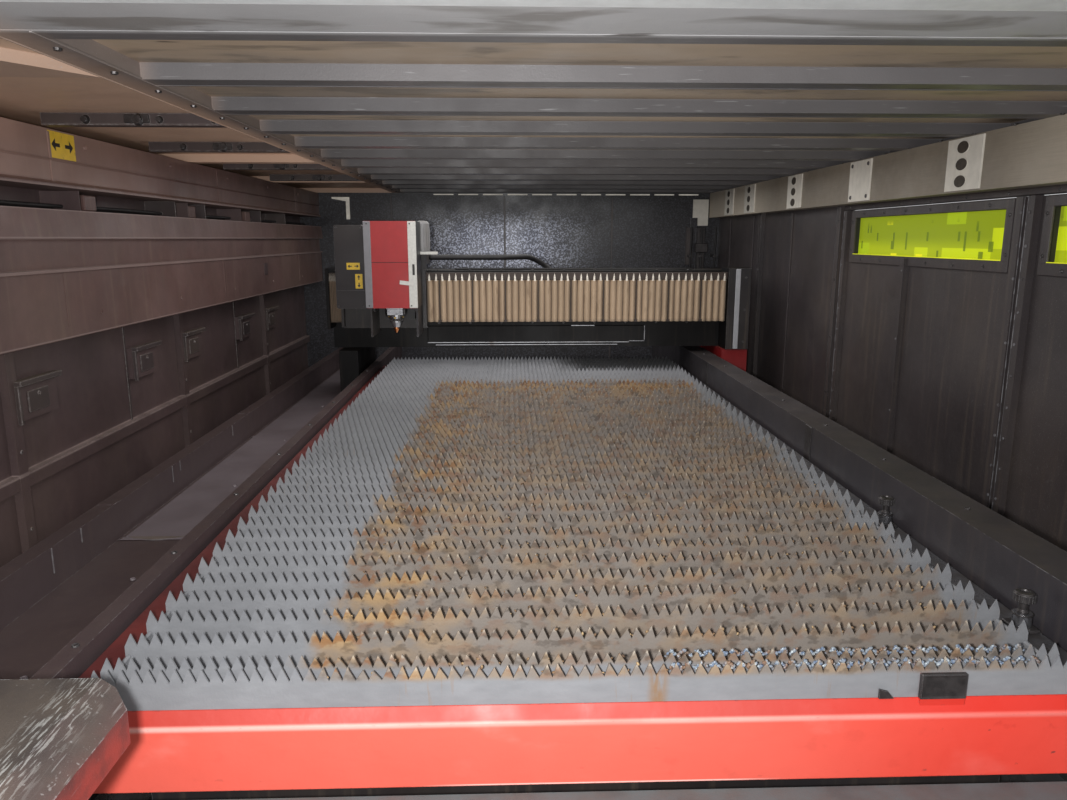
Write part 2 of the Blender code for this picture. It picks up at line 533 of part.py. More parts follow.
def front_frame():
    """The front frame: two grooved door posts, the lintel over the opening and the top tie."""
    shapes = []
    for side in (-1, 1):
        post = sorted((side * POST_IN, side * SKIN_X))
        shapes.append(block((post[0], POST_FRONT_Y, FLOOR_GAP), (post[1], CABIN_FRONT_Y, FRAME_TOP)))
        foot = (post[0] + post[1]) / 2
        middle = (POST_FRONT_Y + CABIN_FRONT_Y) / 2
        shapes.append(rod((foot, middle, 0), (foot, middle, FLOOR_GAP + LAP), FOOT_RADIUS))
    shapes.append(block((-SKIN_X, POST_FRONT_Y, FRAME_TOP - TIE_HEIGHT), (SKIN_X, CABIN_FRONT_Y, FRAME_TOP)))
    shapes.append(block((-POST_IN - LAP, LINTEL_FRONT_Y, ROOF_Z), (POST_IN + LAP, CABIN_FRONT_Y,
                                                                 ROOF_Z + LINTEL_HEIGHT)))
    cuts = []
    for side in (-1, 1):
        for y in (LEAF_LOWER_Y, LEAF_UPPER_Y):
            groove = sorted((side * (POST_IN - OVERRUN), side * (LEAF_HALF + GAP)))
            cuts.append(block((groove[0], y - GAP, LEAF_CLOSED_Z - GAP),
                              (groove[1], y + LEAF_THICK + GAP, FRAME_TOP - TIE_HEIGHT)))
    return part("front_frame", "skin_white", shapes, cuts)


def door_leaves():
    """The two leaves of the lift door, raised. Each is a sheet with folded top and bottom flanges."""
    for name, y in (("door_leaf_lower", LEAF_LOWER_Y), ("door_leaf_upper", LEAF_UPPER_Y)):
        sheet = block((-LEAF_HALF, y, LEAF_REST_Z), (LEAF_HALF, y + LEAF_THICK, LEAF_REST_Z + LEAF_HEIGHT))
        inner_half = POST_IN - OVERRUN
        pocket = block((-inner_half, y + SHEET, LEAF_REST_Z + LEAF_FLANGE),
                       (inner_half, y + LEAF_THICK + OVERRUN, LEAF_REST_Z + LEAF_HEIGHT - LEAF_FLANGE))
        part(name, "skin_white", [sheet], [pocket])


def roof():
    """The roof sheet with cross ribs, the seam beam, the front beam and the drip edges."""
    start, end = CABIN_FRONT_Y + GAP, CABIN_BACK_Y - WALL_THICK - RUN
    sheet_top = ROOF_PANEL_Z + ROOF_SHEET
    shapes = [block((-HALF_WIDTH + LAP, start, ROOF_PANEL_Z), (HALF_WIDTH - LAP, ROOF_BACK_Y - LAP, sheet_top))]
    for number in range(RIB_COUNT):
        y = RIB_FIRST_Y + number * RIB_PITCH
        if y + RIB_WIDTH < end:
            shapes.append(block((ROOF_SEAM_X, y, ROOF_Z), (SKIN_X, y + RIB_WIDTH, ROOF_PANEL_Z + LAP)))
    for number in range(ROOF_LEFT_RIBS):
        y = wall_posts()[number + 1] - RIB_WIDTH / 2
        shapes.append(block((-SKIN_X, y, ROOF_Z), (ROOF_SEAM_X, y + RIB_WIDTH, ROOF_PANEL_Z + LAP)))
    shapes.append(block((ROOF_SEAM_X - ROOF_SEAM_HALF, start + LAP, ROOF_Z),
                        (ROOF_SEAM_X + ROOF_SEAM_HALF, end, ROOF_PANEL_Z + LAP)))
    shapes.append(block((-SKIN_X, start, ROOF_Z), (SKIN_X, start + ROOF_FRONT_BEAM,
                                                          ROOF_PANEL_Z + LAP)))
    for side in (-1, 1):
        edge = sorted((side * (SKIN_X + GAP), side * HALF_WIDTH))
        shapes.append(block((edge[0], start, EDGE_LOW), (edge[1], ROOF_BACK_Y, EDGE_TOP)))
    shapes.append(block((-HALF_WIDTH, CABIN_BACK_Y + GAP, EDGE_LOW), (HALF_WIDTH, ROOF_BACK_Y, EDGE_TOP)))
    return part("roof", "roof_grey", shapes)


def wall_posts():
    return [POST_FIRST_Y + POST_PITCH * number for number in range(POST_COUNT)]


def left_wall():
    """The left wall: its sheet, posts, the long rail and the small latch boxes."""
    inner = -SKIN_X + WALL_THICK
    start, end = CABIN_FRONT_Y + GAP, CABIN_BACK_Y - WALL_THICK - GAP
    top = ROOF_Z - GAP
    shapes = [block((-SKIN_X, start, FLOOR_GAP), (inner, end, top))]
    for y in wall_posts():
        shapes.append(block((inner - LAP, y - POST_WIDTH / 2, FLOOR_GAP), (inner + POST_DEPTH, y + POST_WIDTH / 2,
                                                                         HOOD_LOW - GAP)))
        for side in (-1, 1):
            middle = y + LATCH_SHIFT + side * LATCH_OFFSET
            shapes.append(block((inner - LAP, middle - LATCH_WIDTH / 2, LATCH_Z),
                                (inner + POST_DEPTH, middle + LATCH_WIDTH / 2, LATCH_Z + LATCH_HEIGHT)))
    shapes.append(block((inner - LAP, start, WALL_RAIL_LOW), (inner + WALL_RAIL_DEPTH, end, WALL_RAIL_TOP)))
    for y in (wall_posts()[0], wall_posts()[-1]):
        middle = -SKIN_X + WALL_THICK / 2 + POST_DEPTH / 2
        shapes.append(rod((middle, y, 0), (middle, y, FLOOR_GAP + LAP), POST_DEPTH))
    return part("left_wall", "wall_black", shapes)


def left_hood():
    """The folded hood along the left wall: its lower bands, and its top band over the cable slot."""
    wall = -SKIN_X + WALL_THICK + GAP
    start, end = CABIN_FRONT_Y + RUN, CABIN_BACK_Y - WALL_THICK - RUN
    lower = [(wall, HOOD_LOW), (HOOD_X, HOOD_LOW), (HOOD_X, BAND_LOW), (HOOD_X + BAND_STEP, BAND_LOW),
             (HOOD_X + BAND_STEP, BAND_LOW + BAND_STEP), (HOOD_X - BAND_STEP, BAND_LOW + BAND_STEP),
             (HOOD_X - BAND_STEP, BAND_MID), (HOOD_X + 2 * BAND_STEP, BAND_MID),
             (HOOD_X + BAND_STEP, SLOT_LOW), (wall, SLOT_LOW)]
    part("left_hood", "wall_black", [extruded(lower, "Y", start, end)])
    upper = [(wall, SLOT_TOP), (HOOD_X + BAND_STEP, SLOT_TOP), (HOOD_X + BAND_STEP, SLOT_TOP + BAND_STEP),
             (HOOD_X, SLOT_TOP + 2 * BAND_STEP), (HOOD_X, HOOD_TOP), (wall, HOOD_TOP)]
    part("left_hood_top", "wall_black", [extruded(upper, "Y", start, end)])


def doors():
    """Each side door: its node, where it starts and where it ends."""
    return (("front", DOOR_FRONT_START_Y, DOOR_FRONT_END_Y), ("rear", DOOR_REAR_START_Y, DOOR_REAR_END_Y))


def hinge(y, low, direction):
    """One half of a side door's hinge: a knuckle on the axis and its leaf, towards the wall or the door."""
    x = SKIN_X + HINGE_RADIUS
    leaf = sorted((y, y + direction * HINGE_LEAF))
    return [rod((x, y, low), (x, y, low + HINGE_LENGTH), HINGE_RADIUS),
            block((SKIN_X - LAP, leaf[0], low), (SKIN_X + SHEET, leaf[1], low + HINGE_LENGTH))]


def hinge_places():
    """The lower end of each hinge's lower knuckle, which belongs to the wall."""
    return DOOR_LOW + HINGE_INSET, DOOR_TOP - HINGE_INSET - 2 * HINGE_LENGTH


def right_wall():
    """The right wall: its sheet and posts, with openings for the side doors and the drawers."""
    inner = SKIN_X - WALL_THICK
    start, end = CABIN_FRONT_Y + GAP, CABIN_BACK_Y - WALL_THICK - GAP
    shapes = [block((inner, start, FLOOR_GAP), (SKIN_X, end, ROOF_Z - GAP))]
    for y in (DOOR_REAR_END_Y + POST_WIDTH, wall_posts()[-1]):
        shapes.append(block((inner - POST_DEPTH, y - POST_WIDTH / 2, TIE_TOP + DRAWER_HEIGHT + RUN),
                            (inner + LAP, y + POST_WIDTH / 2, DUCT_LOW - GAP)))
    for y in (wall_posts()[0], wall_posts()[-1]):
        middle = SKIN_X - WALL_THICK / 2 - POST_DEPTH / 2
        shapes.append(rod((middle, y, 0), (middle, y, FLOOR_GAP + LAP), POST_DEPTH))
    cuts = []
    for _, first, last in doors():
        cuts.append(block((inner - OVERRUN, first - RUN, DOOR_LOW - RUN), (SKIN_X + OVERRUN, last + RUN,
                                                                         DOOR_TOP + RUN)))
    for number in range(STATIONS - 1):
        first, last = drawer_span(number)
        cuts.append(block((inner - OVERRUN, first - RUN, TIE_TOP - RUN),
                          (SKIN_X + OVERRUN, last + RUN, TIE_TOP + DRAWER_HEIGHT + RUN)))
    made = part("right_wall", "wall_black", shapes, cuts)
    knuckles = []
    for _, first, _ in doors():
        for low in hinge_places():
            knuckles += hinge(first - RUN, low, -1)
    combine(made, knuckles, "UNION")


def side_doors():
    """The two side doors, hinged at their front edges on the wall's outer face, with their windows."""
    inner = SKIN_X - DOOR_THICK
    for name, start, end in doors():
        leaf = block((inner, start, DOOR_LOW), (SKIN_X, end, DOOR_TOP))
        shapes = [leaf]
        for share in (0, DOOR_RIB_SHARE, 1):
            y = start + share * (end - start - DOOR_RIB_WIDTH)
            top = WINDOW_LOW - RUN if share == DOOR_RIB_SHARE else DOOR_TOP
            shapes.append(block((inner - DOOR_RIB_DEPTH, y, DOOR_LOW), (inner + LAP, y + DOOR_RIB_WIDTH, top)))
        glass_low = (inner + DOOR_THICK / 2, start + WINDOW_INSET, WINDOW_LOW)
        glass_high = (inner + DOOR_THICK / 2 + WINDOW_THICK, end - WINDOW_INSET, WINDOW_TOP)
        sight = block((inner - OVERRUN, start + WINDOW_INSET + RUN, WINDOW_LOW + RUN),
                      (SKIN_X + OVERRUN, end - WINDOW_INSET - RUN, WINDOW_TOP - RUN))
        rabbet = block([value - GAP for value in glass_low], [value + GAP for value in glass_high])
        pull = block((SKIN_X - LAP, end - WINDOW_INSET, DOOR_LOW + DOOR_PULL_LENGTH),
                     (SKIN_X + DOOR_PULL_DEPTH, end - WINDOW_INSET + DOOR_RIB_WIDTH,
                      DOOR_LOW + 2 * DOOR_PULL_LENGTH))
        shapes.append(pull)
        for low in hinge_places():
            shapes += hinge(start - RUN, low + HINGE_LENGTH + GAP, 1)
        door = part("side_door_" + name, "wall_black", shapes, [sight, rabbet])
        glass = part("window_" + name, "window_green", [block(glass_low, glass_high)])
        for made in (door, glass):
            set_axis(made, (SKIN_X + HINGE_RADIUS, start - RUN, (DOOR_LOW + DOOR_TOP) / 2))


def cable_duct():
    """The duct under the roof on the right wall, with bracket plates on its face."""
    wall = SKIN_X - WALL_THICK - GAP
    shapes = [block((DUCT_X, CABIN_FRONT_Y + RUN, DUCT_LOW), (wall, CABIN_BACK_Y - WALL_THICK - RUN,
                                                            ROOF_Z - GAP))]
    for number in range(BRACKET_COUNT):
        y = BRACKET_FIRST_Y + number * BRACKET_PITCH
        shapes.append(block((DUCT_X - BRACKET_THICK, y, DUCT_LOW + SHEET), (DUCT_X + LAP, y + BRACKET_WIDTH,
                                                                         ROOF_Z - SHEET)))
    return part("cable_duct", "duct_grey", shapes)


def back_wall():
    """The back wall with its row of light slots under the roof and one post."""
    half = SKIN_X
    inner = CABIN_BACK_Y - WALL_THICK
    shapes = [block((-half, inner, FLOOR_GAP), (half, CABIN_BACK_Y, ROOF_Z - GAP))]
    shapes.append(block((BACK_POST_X, inner - POST_DEPTH, FLOOR_GAP), (BACK_POST_X + POST_WIDTH, inner + LAP,
                                                                     DUCT_LOW - GAP)))
    for x in (-BACK_POST_X, BACK_POST_X):
        shapes.append(rod((x, CABIN_BACK_Y - POST_DEPTH, 0), (x, CABIN_BACK_Y - POST_DEPTH, FLOOR_GAP + LAP),
                          POST_DEPTH - LAP))
    cuts = []
    pitch = 2 * LIGHT_SLOT_HALF / (LIGHT_SLOTS - 1)
    for number in range(LIGHT_SLOTS):
        x = LIGHT_SLOT_X + (number - (LIGHT_SLOTS - 1) / 2) * pitch
        cuts.append(block((x - LIGHT_SLOT_WIDTH / 2, inner - OVERRUN, LIGHT_SLOT_Z),
                          (x + LIGHT_SLOT_WIDTH / 2, CABIN_BACK_Y + OVERRUN, LIGHT_SLOT_Z + LIGHT_SLOT_HEIGHT)))
    return part("back_wall", "wall_black", shapes, cuts)


def cabinet():
    """The rear cabinet, open to the back, with its middle partition and the rack of drive modules."""
    start = CABIN_BACK_Y + GAP
    low, high = (-CABINET_HALF, start, CABINET_LOW), (CABINET_HALF, CABINET_BACK_Y, CABINET_TOP)
    shapes = [block(low, high)]
    for side in (-1, 1):
        x = side * (CABINET_HALF - FOOT_RADIUS * 2)
        for y in (start + FOOT_RADIUS * 2, CABINET_BACK_Y - FOOT_RADIUS * 2):
            shapes.append(rod((x, y, 0), (x, y, CABINET_LOW + LAP), FOOT_RADIUS))
    cuts = []
    for left, right in ((-CABINET_HALF + CABINET_WALL, -CABINET_WALL / 2),
                        (CABINET_WALL / 2, CABINET_HALF - CABINET_WALL)):
        cuts.append(block((left, start + CABINET_WALL, CABINET_LOW + CABINET_WALL),
                          (right, CABINET_BACK_Y + OVERRUN, CABINET_TOP - CABINET_WALL)))
    made = part("cabinet", "skin_white", shapes, cuts)
    rack = []
    pitch = (CABINET_HALF - 2 * CABINET_WALL) / RACK_MODULES
    for number in range(RACK_MODULES):
        x = 2 * CABINET_WALL + number * pitch
        rack.append(block((x, start + CABINET_WALL - LAP, HANDLE_Z),
                          (x + RACK_MODULE_WIDTH, start + CABINET_WALL + RACK_MODULE_DEPTH,
                           HANDLE_Z + RACK_MODULE_HEIGHT)))
    combine(made, rack, "UNION")


def cabinet_doors():
    """The cabinet's two doors, hinged at their outer edges, each with a lever handle."""
    start = CABINET_BACK_Y + GAP
    for name, side in (("left", -1), ("right", 1)):
        edges = sorted((side * RUN / 2, side * CABINET_HALF))
        door = part("cabinet_door_" + name, "skin_white",
                    [block((edges[0], start, CABINET_LOW), (edges[1], start + CABINET_DOOR_THICK, CABINET_TOP))])
        set_axis(door, (side * CABINET_HALF, start + CABINET_DOOR_THICK, (CABINET_LOW + CABINET_TOP) / 2))
        face = start + CABINET_DOOR_THICK + GAP
        x = side * (HANDLE_WIDTH * 2)
        lever_start = face + (HALF_LENGTH - face) / 2
        hub = rod((x, face, HANDLE_Z), (x, lever_start + LAP, HANDLE_Z), HANDLE_HUB)
        lever = block((x - HANDLE_WIDTH / 2, lever_start, HANDLE_Z - HANDLE_LENGTH),
                      (x + HANDLE_WIDTH / 2, HALF_LENGTH, HANDLE_Z + HANDLE_WIDTH))
        handle = part("cabinet_handle_" + name, "rubber_black", [hub, lever])
        set_axis(handle, (x, face, HANDLE_Z))


def laser_source():
    """The fiber laser source that stands in the left half of the cabinet."""
    low = (-CABINET_HALF + 2 * CABINET_WALL, CABIN_BACK_Y + 2 * CABINET_WALL, CABINET_LOW + CABINET_WALL + GAP)
    high = (low[0] + SOURCE_WIDTH, low[1] + SOURCE_DEPTH, low[2] + SOURCE_HEIGHT)
    case = block(low, high)
    return part("laser_source", "guard_grey", [case])


def station_leg_places():
    first = STATION_FRAME_FRONT_Y + STATION_LEG_INSET
    last = STATION_FRAME_BACK_Y - STATION_LEG_INSET
    return [first + (last - first) * number / (STATION_LEGS - 1) for number in range(STATION_LEGS)]


def station_frame():
    """The loading station's frame with its rails, legs, cross members and front buffers."""
    shapes = []
    for side in (-1, 1):
        beam = sorted((at(side * BEAM_IN), at(side * STATION_BEAM_OUT)))
        shapes.append(block((beam[0], STATION_FRAME_FRONT_Y, STATION_BEAM_LOW),
                            (beam[1], STATION_FRAME_BACK_Y, STATION_BEAM_TOP)))
        shapes.append(extruded(rail_outline(side, BEAM_IN + LAP), "Y", STATION_FRAME_FRONT_Y + LAP,
                               BED_FRONT_Y - GAP))
        middle = (beam[0] + beam[1]) / 2
        for y in station_leg_places():
            shapes.append(block((beam[0] + LAP, y - STATION_LEG_HALF, TIE_LOW),
                                (beam[1] - LAP, y + STATION_LEG_HALF, STATION_BEAM_LOW + LAP)))
            shapes.append(rod((middle, y, 0), (middle, y, TIE_LOW + LAP), STATION_LEG_HALF))
        shapes.append(rod((middle, -HALF_LENGTH, BUFFER_Z), (middle, STATION_FRAME_FRONT_Y + LAP, BUFFER_Z),
                          BUFFER_RADIUS))
    for y in station_leg_places():
        shapes.append(block((at(-BEAM_IN - LAP), y - STATION_LEG_HALF + LAP, STATION_CROSS_LOW),
                            (at(BEAM_IN + LAP), y + STATION_LEG_HALF - LAP, STATION_CROSS_TOP)))
    return part("station_frame", "frame_black", shapes)


def drive_hood():
    """The black hood over the pallet drive, left of the opening, with its bevelled nose."""
    path = [(HOOD_NOSE_X, DRIVE_NOSE_LOW), (HOOD_NOSE_X, DRIVE_NOSE_TOP), (HOOD_FOLD_X, DRIVE_TOP),
            (HOOD_OUT_X, DRIVE_TOP), (HOOD_OUT_X, FLOOR_GAP)]
    outline = path + [(HOOD_OUT_X + 2 * SHEET, FLOOR_GAP), (HOOD_OUT_X + 2 * SHEET, DRIVE_NOSE_LOW)]
    start = HOOD_BACK_Y - HOOD_LENGTH
    shapes = [extruded(outline, "Y", start, HOOD_BACK_Y)]
    wall = DRIVE_WALL_X
    shapes.append(block((HOOD_OUT_X + LAP, start, STATION_BEAM_TOP + GAP),
                        (wall, HOOD_BACK_Y, DRIVE_NOSE_LOW + LAP)))
    corner = extruded([(HOOD_NOSE_X + OVERRUN, HOOD_BACK_Y - HOOD_CORNER - OVERRUN),
                       (HOOD_NOSE_X + OVERRUN, HOOD_BACK_Y + OVERRUN),
                       (HOOD_NOSE_X - HOOD_CORNER - OVERRUN, HOOD_BACK_Y + OVERRUN)],
                      "Z", DRIVE_NOSE_LOW - OVERRUN, DRIVE_TOP + OVERRUN)
    feet = [rod((HOOD_OUT_X + SHEET, y, 0), (HOOD_OUT_X + SHEET, y, FLOOR_GAP + LAP), HOOD_FOOT)
            for y in (start + HOOD_FOOT + LAP, HOOD_BACK_Y - HOOD_FOOT - LAP)]
    return part("drive_hood", "cover_black", shapes + feet, [corner])


def end_beam(start, outer):
    """A cross beam of the pallet, starting at one y, with a sloping top edge on its outer side."""
    edges = (start, start + END_BEAM_DEPTH)
    edge, inner = edges if outer < 0 else reversed(edges)
    outline = [(inner, END_BEAM_LOW), (inner, END_BEAM_TOP), (edge - outer * END_SLOPE_DEPTH, END_BEAM_TOP),
               (edge, END_BEAM_TOP - END_SLOPE_DROP), (edge, END_BEAM_LOW)]
    return extruded(outline, "X", at(-PALLET_HALF), at(PALLET_HALF))


def pallet_frame():
    """The red welded pallet: end beams, side beams, ribs, wheel brackets and the black stop block."""
    back = PALLET_BACK_Y - END_BEAM_DEPTH
    front = PALLET_FRONT_Y + END_BEAM_DEPTH
    shapes = [end_beam(PALLET_FRONT_Y, -1), end_beam(back, 1)]
    inner = PALLET_HALF - SIDE_BEAM_WIDTH
    cuts = []
    for side in (-1, 1):
        beam = sorted((at(side * inner), at(side * PALLET_HALF)))
        shapes.append(block((beam[0], front - END_BEAM_ROUND, SIDE_BEAM_LOW),
                            (beam[1], back + END_BEAM_ROUND, SIDE_BEAM_TOP)))
        bracket = sorted((at(side * BRACKET_LEG_IN), at(side * BRACKET_LEG_OUT)))
        for y in (WHEEL_FRONT_Y, WHEEL_BACK_Y):
            shapes.append(block((bracket[0], y - BRACKET_LEG_HALF, wheel_z() - HUB_RADIUS * 1.5),
                                (bracket[1], y + BRACKET_LEG_HALF, SIDE_BEAM_LOW + LAP)))
            cuts.append(rod((at(side * (BRACKET_LEG_IN - LAP)), y, wheel_z()),
                            (at(side * (BRACKET_LEG_OUT + LAP)), y, wheel_z()), AXLE_RADIUS + GAP))
    for number in range(RIBS):
        y = front + (back - front) * (number + 1) / (RIBS + 1)
        shapes.append(block((at(-inner - LAP), y - RIB_DEPTH_Y / 2, SIDE_BEAM_LOW),
                            (at(inner + LAP), y + RIB_DEPTH_Y / 2, END_BEAM_TOP)))
    shapes.append(block((at(STOP_START_U), SLAT_FIRST_Y - GAP - STOP_DEPTH, END_BEAM_TOP - END_SLOPE_DROP / 2),
                        (at(STOP_START_U + STOP_WIDTH), SLAT_FIRST_Y - GAP, END_BEAM_TOP + STOP_HEIGHT)))
    return part("pallet_frame", "pallet_red", shapes, cuts)


def wheel_z():
    """The height of the wheels' axles."""
    return HEAD_TOP + WHEEL_RADIUS + GAP


def pallet_wheels():
    """The pallet's four wheels, each with the stub axle that turns in its bracket."""
    for side_name, side in (("left", -1), ("right", 1)):
        for end_name, y in (("front", WHEEL_FRONT_Y), ("rear", WHEEL_BACK_Y)):
            rim = WHEEL_WIDTH / 2
            groove = WHEEL_RADIUS - END_BEAM_ROUND / 2
            wheel = turned([(WHEEL_RADIUS - SHEET / 2, -rim), (WHEEL_RADIUS, -rim + SHEET / 2),
                            (WHEEL_RADIUS, rim - SHEET / 2), (WHEEL_RADIUS - SHEET / 2, rim),
                            (groove, rim), (groove, rim - SHEET / 2), (HUB_RADIUS, rim - SHEET / 2),
                            (HUB_RADIUS, rim)], (at(side * WHEEL_U), y, wheel_z()), "X")
            stub = rod((at(side * BRACKET_LEG_IN), y, wheel_z()), (at(side * WHEEL_U), y, wheel_z()), AXLE_RADIUS)
            made = part(f"wheel_{end_name}_{side_name}", "wheel_grey", [wheel, stub])
            set_axis(made, (at(side * WHEEL_U), y, wheel_z()))


def slat_places():
    """The y of every slat: the first two stand close together on the front beam."""
    rest = [SLAT_FIRST_Y + SLAT_FIRST_STEP + SLAT_PITCH * number for number in range(SLAT_COUNT - 1)]
    return [SLAT_FIRST_Y] + rest


def slat_outline(toothed):
    """One slat across the bed, with its saw teeth or, further back, with a plain top at their tips."""
    low = END_BEAM_TOP + GAP
    points = [(at(-SLAT_HALF), low), (at(SLAT_HALF), low)]
    if not toothed:
        return points + [(at(SLAT_HALF), TIP_Z), (at(-SLAT_HALF), TIP_Z)]
    pitch = 2 * SLAT_HALF / TOOTH_COUNT
    points.append((at(SLAT_HALF), TIP_Z - TOOTH_HEIGHT))
    for number in range(TOOTH_COUNT):
        right = SLAT_HALF - number * pitch
        points.append((at(right - pitch / 2), TIP_Z))
        points.append((at(right - pitch), TIP_Z - TOOTH_HEIGHT))
    return points


def slat_banks():
    """The slats in their side combs, in a front and a rear bank."""
    places = slat_places()
    half = SLAT_COUNT // 2
    for name, first in (("slat_bank_front", 0), ("slat_bank_rear", half)):
        bank = places[first:first + half]
        shapes = []
        for number, y in enumerate(bank):
            shapes.append(extruded(slat_outline(first + number < TOOTHED_SLATS), "Y", y, y + SLAT_THICK))
        for side in (-1, 1):
            comb = sorted((at(side * (SLAT_HALF - COMB_THICK)), at(side * (SLAT_HALF - SHEET))))
            shapes.append(block((comb[0], bank[0] + SLAT_THICK / 2, END_BEAM_TOP + GAP),
                                (comb[1], bank[-1] + SLAT_THICK / 2, COMB_TOP)))
        part(name, "slat_grey", shapes)


def edge_strip():
    """The flat strip on the pallet's right side beam, with the bodies of the two clamps."""
    low = SIDE_BEAM_TOP + GAP
    shapes = [block((at(STRIP_START_U), PALLET_FRONT_Y + END_BEAM_DEPTH, low),
                    (at(STRIP_START_U + STRIP_WIDTH), PALLET_BACK_Y - END_BEAM_DEPTH, low + STRIP_THICK))]
    for y in (CLAMP_FRONT_Y, CLAMP_BACK_Y):
        shapes.append(rod((at(CLAMP_U), y, low + STRIP_THICK - LAP), (at(CLAMP_U), y, CLAMP_BODY_TOP),
                          CLAMP_BODY_RADIUS))
    return part("edge_strip", "rail_steel", shapes)


def clamp_knobs():
    """The turned knobs of the two edge clamps."""
    base = CLAMP_BODY_TOP + GAP
    profile = [(CLAMP_NECK_RADIUS, base), (CLAMP_NECK_RADIUS, CLAMP_NECK_TOP),
               (CLAMP_CAP_RADIUS - CLAMP_CAP_EDGE, CLAMP_NECK_TOP),
               (CLAMP_CAP_RADIUS, CLAMP_NECK_TOP + CLAMP_CAP_EDGE),
               (CLAMP_CAP_RADIUS, CLAMP_CAP_TOP - CLAMP_CAP_EDGE),
               (CLAMP_CAP_RADIUS - CLAMP_CAP_EDGE, CLAMP_CAP_TOP)]
    for name, y in (("clamp_knob_front", CLAMP_FRONT_Y), ("clamp_knob_rear", CLAMP_BACK_Y)):
        made = part(name, "clamp_steel", [turned(profile, (at(CLAMP_U), y, 0))])
        set_axis(made, (at(CLAMP_U), y, base))


def gantry_beam():
    """The C-shaped gantry beam with its X rails, motor track, left end plate and conduit clip."""
    back, wall = GANTRY_Y + GANTRY_DEPTH, GANTRY_WALL
    outline = [(back, GANTRY_LOW), (back, GANTRY_LOW + wall), (GANTRY_Y + wall, GANTRY_LOW + wall),
               (GANTRY_Y + wall, GANTRY_TOP - wall), (back, GANTRY_TOP - wall), (back, GANTRY_TOP),
               (GANTRY_Y, GANTRY_TOP), (GANTRY_Y, GANTRY_LOW)]
    shapes = [extruded(outline, "X", at(GANTRY_LEFT), at(GANTRY_RIGHT))]
    right = at(GUARD_START_U) - GAP
    for z in (X_RAIL_LOW_Z, X_RAIL_TOP_Z):
        shapes.append(block((at(GANTRY_LEFT) + LAP, GANTRY_Y - RAIL_HEIGHT, z - RAIL_WIDTH / 2),
                            (right, GANTRY_Y + LAP, z + RAIL_WIDTH / 2)))
    shapes.append(block((at(GANTRY_LEFT) + LAP, GANTRY_Y - TRACK_HEIGHT, X_TRACK_LOW_Z),
                        (right, GANTRY_Y + LAP, X_TRACK_TOP_Z)))
    shapes.append(block((at(GANTRY_LEFT), END_PLATE_FRONT_Y, END_PLATE_LOW),
                        (at(GANTRY_LEFT) + END_PLATE_THICK, GANTRY_Y + LAP, END_PLATE_TOP)))
    shapes.append(block((at(GANTRY_RIGHT) - CLIP_WIDTH, back - LAP, CLIP_LOW),
                        (at(GANTRY_RIGHT), back + CLIP_DEPTH, GANTRY_TOP)))
    return part("gantry_beam", "frame_black", shapes)


def saddle(name, finish, inside, outside, rail):
    """One saddle under the beam: its web and two bearing blocks with grooves for the rail."""
    edges = sorted((at(inside), at(outside)))
    shapes = [block((edges[0], SADDLE_FRONT_Y, SADDLE_LOW), (edges[1], SADDLE_BACK_Y, GANTRY_LOW - GAP))]
    middle = at(rail)
    rail_top = BEAM_TOP + GAP + RAIL_HEIGHT
    low = BEAM_TOP + BLOCK_DROP
    half = min(BLOCK_HALF, abs(outside - rail) - GAP, abs(inside - rail))
    for y in (SADDLE_FRONT_Y + BLOCK_INSET, SADDLE_BACK_Y - BLOCK_INSET - BLOCK_LENGTH):
        shapes.append(block((middle - half, y, low), (middle + half, y + BLOCK_LENGTH, SADDLE_LOW + LAP)))
    groove = block((middle - RAIL_WIDTH / 2 - GAP, SADDLE_FRONT_Y - OVERRUN, low - OVERRUN),
                   (middle + RAIL_WIDTH / 2 + GAP, SADDLE_BACK_Y + OVERRUN, rail_top + GAP))
    return part(name, finish, shapes, [groove])


def end_guard():
    """The grey guard at the gantry's right end."""
    shapes = [block((at(GUARD_START_U), END_PLATE_FRONT_Y, GANTRY_LOW), (at(GANTRY_RIGHT), GANTRY_Y - GAP,
                                                                      END_PLATE_TOP))]
    return part("end_guard", "guard_grey", shapes)


def bellows(name, start, end, folds):
    """One pleated bellows between two ends: a zigzag wall, as tall as the beam's guides."""
    pitch = (end - start) / folds
    front, back = [], []
    for number in range(folds):
        left = start + number * pitch
        front += [(left, BELLOWS_FRONT_Y + BELLOWS_FOLD), (left + pitch / 2, BELLOWS_FRONT_Y)]
        back += [(left, BELLOWS_FRONT_Y + BELLOWS_FOLD + BELLOWS_THICK)]
    front.append((end, BELLOWS_FRONT_Y + BELLOWS_FOLD))
    outline = front + [(end, BELLOWS_FRONT_Y + BELLOWS_FOLD + BELLOWS_THICK),
                       (start, BELLOWS_FRONT_Y + BELLOWS_FOLD + BELLOWS_THICK)]
    return part(name, "bellows_tan", [extruded(outline, "Z", BELLOWS_LOW, BELLOWS_TOP)])


def both_bellows():
    """The long right bellows and the short left one, squeezed by the carriage."""
    left_end = at(GANTRY_LEFT) + END_PLATE_THICK + GAP
    bellows("bellows_left", left_end, at(CARRIAGE_LEFT) - GAP, BELLOWS_FOLDS_LEFT)
    start, end = at(CARRIAGE_RIGHT) + GAP, at(GUARD_START_U) - GAP
    bellows("bellows_right", start, end, round((end - start) / BELLOWS_PITCH_LONG))


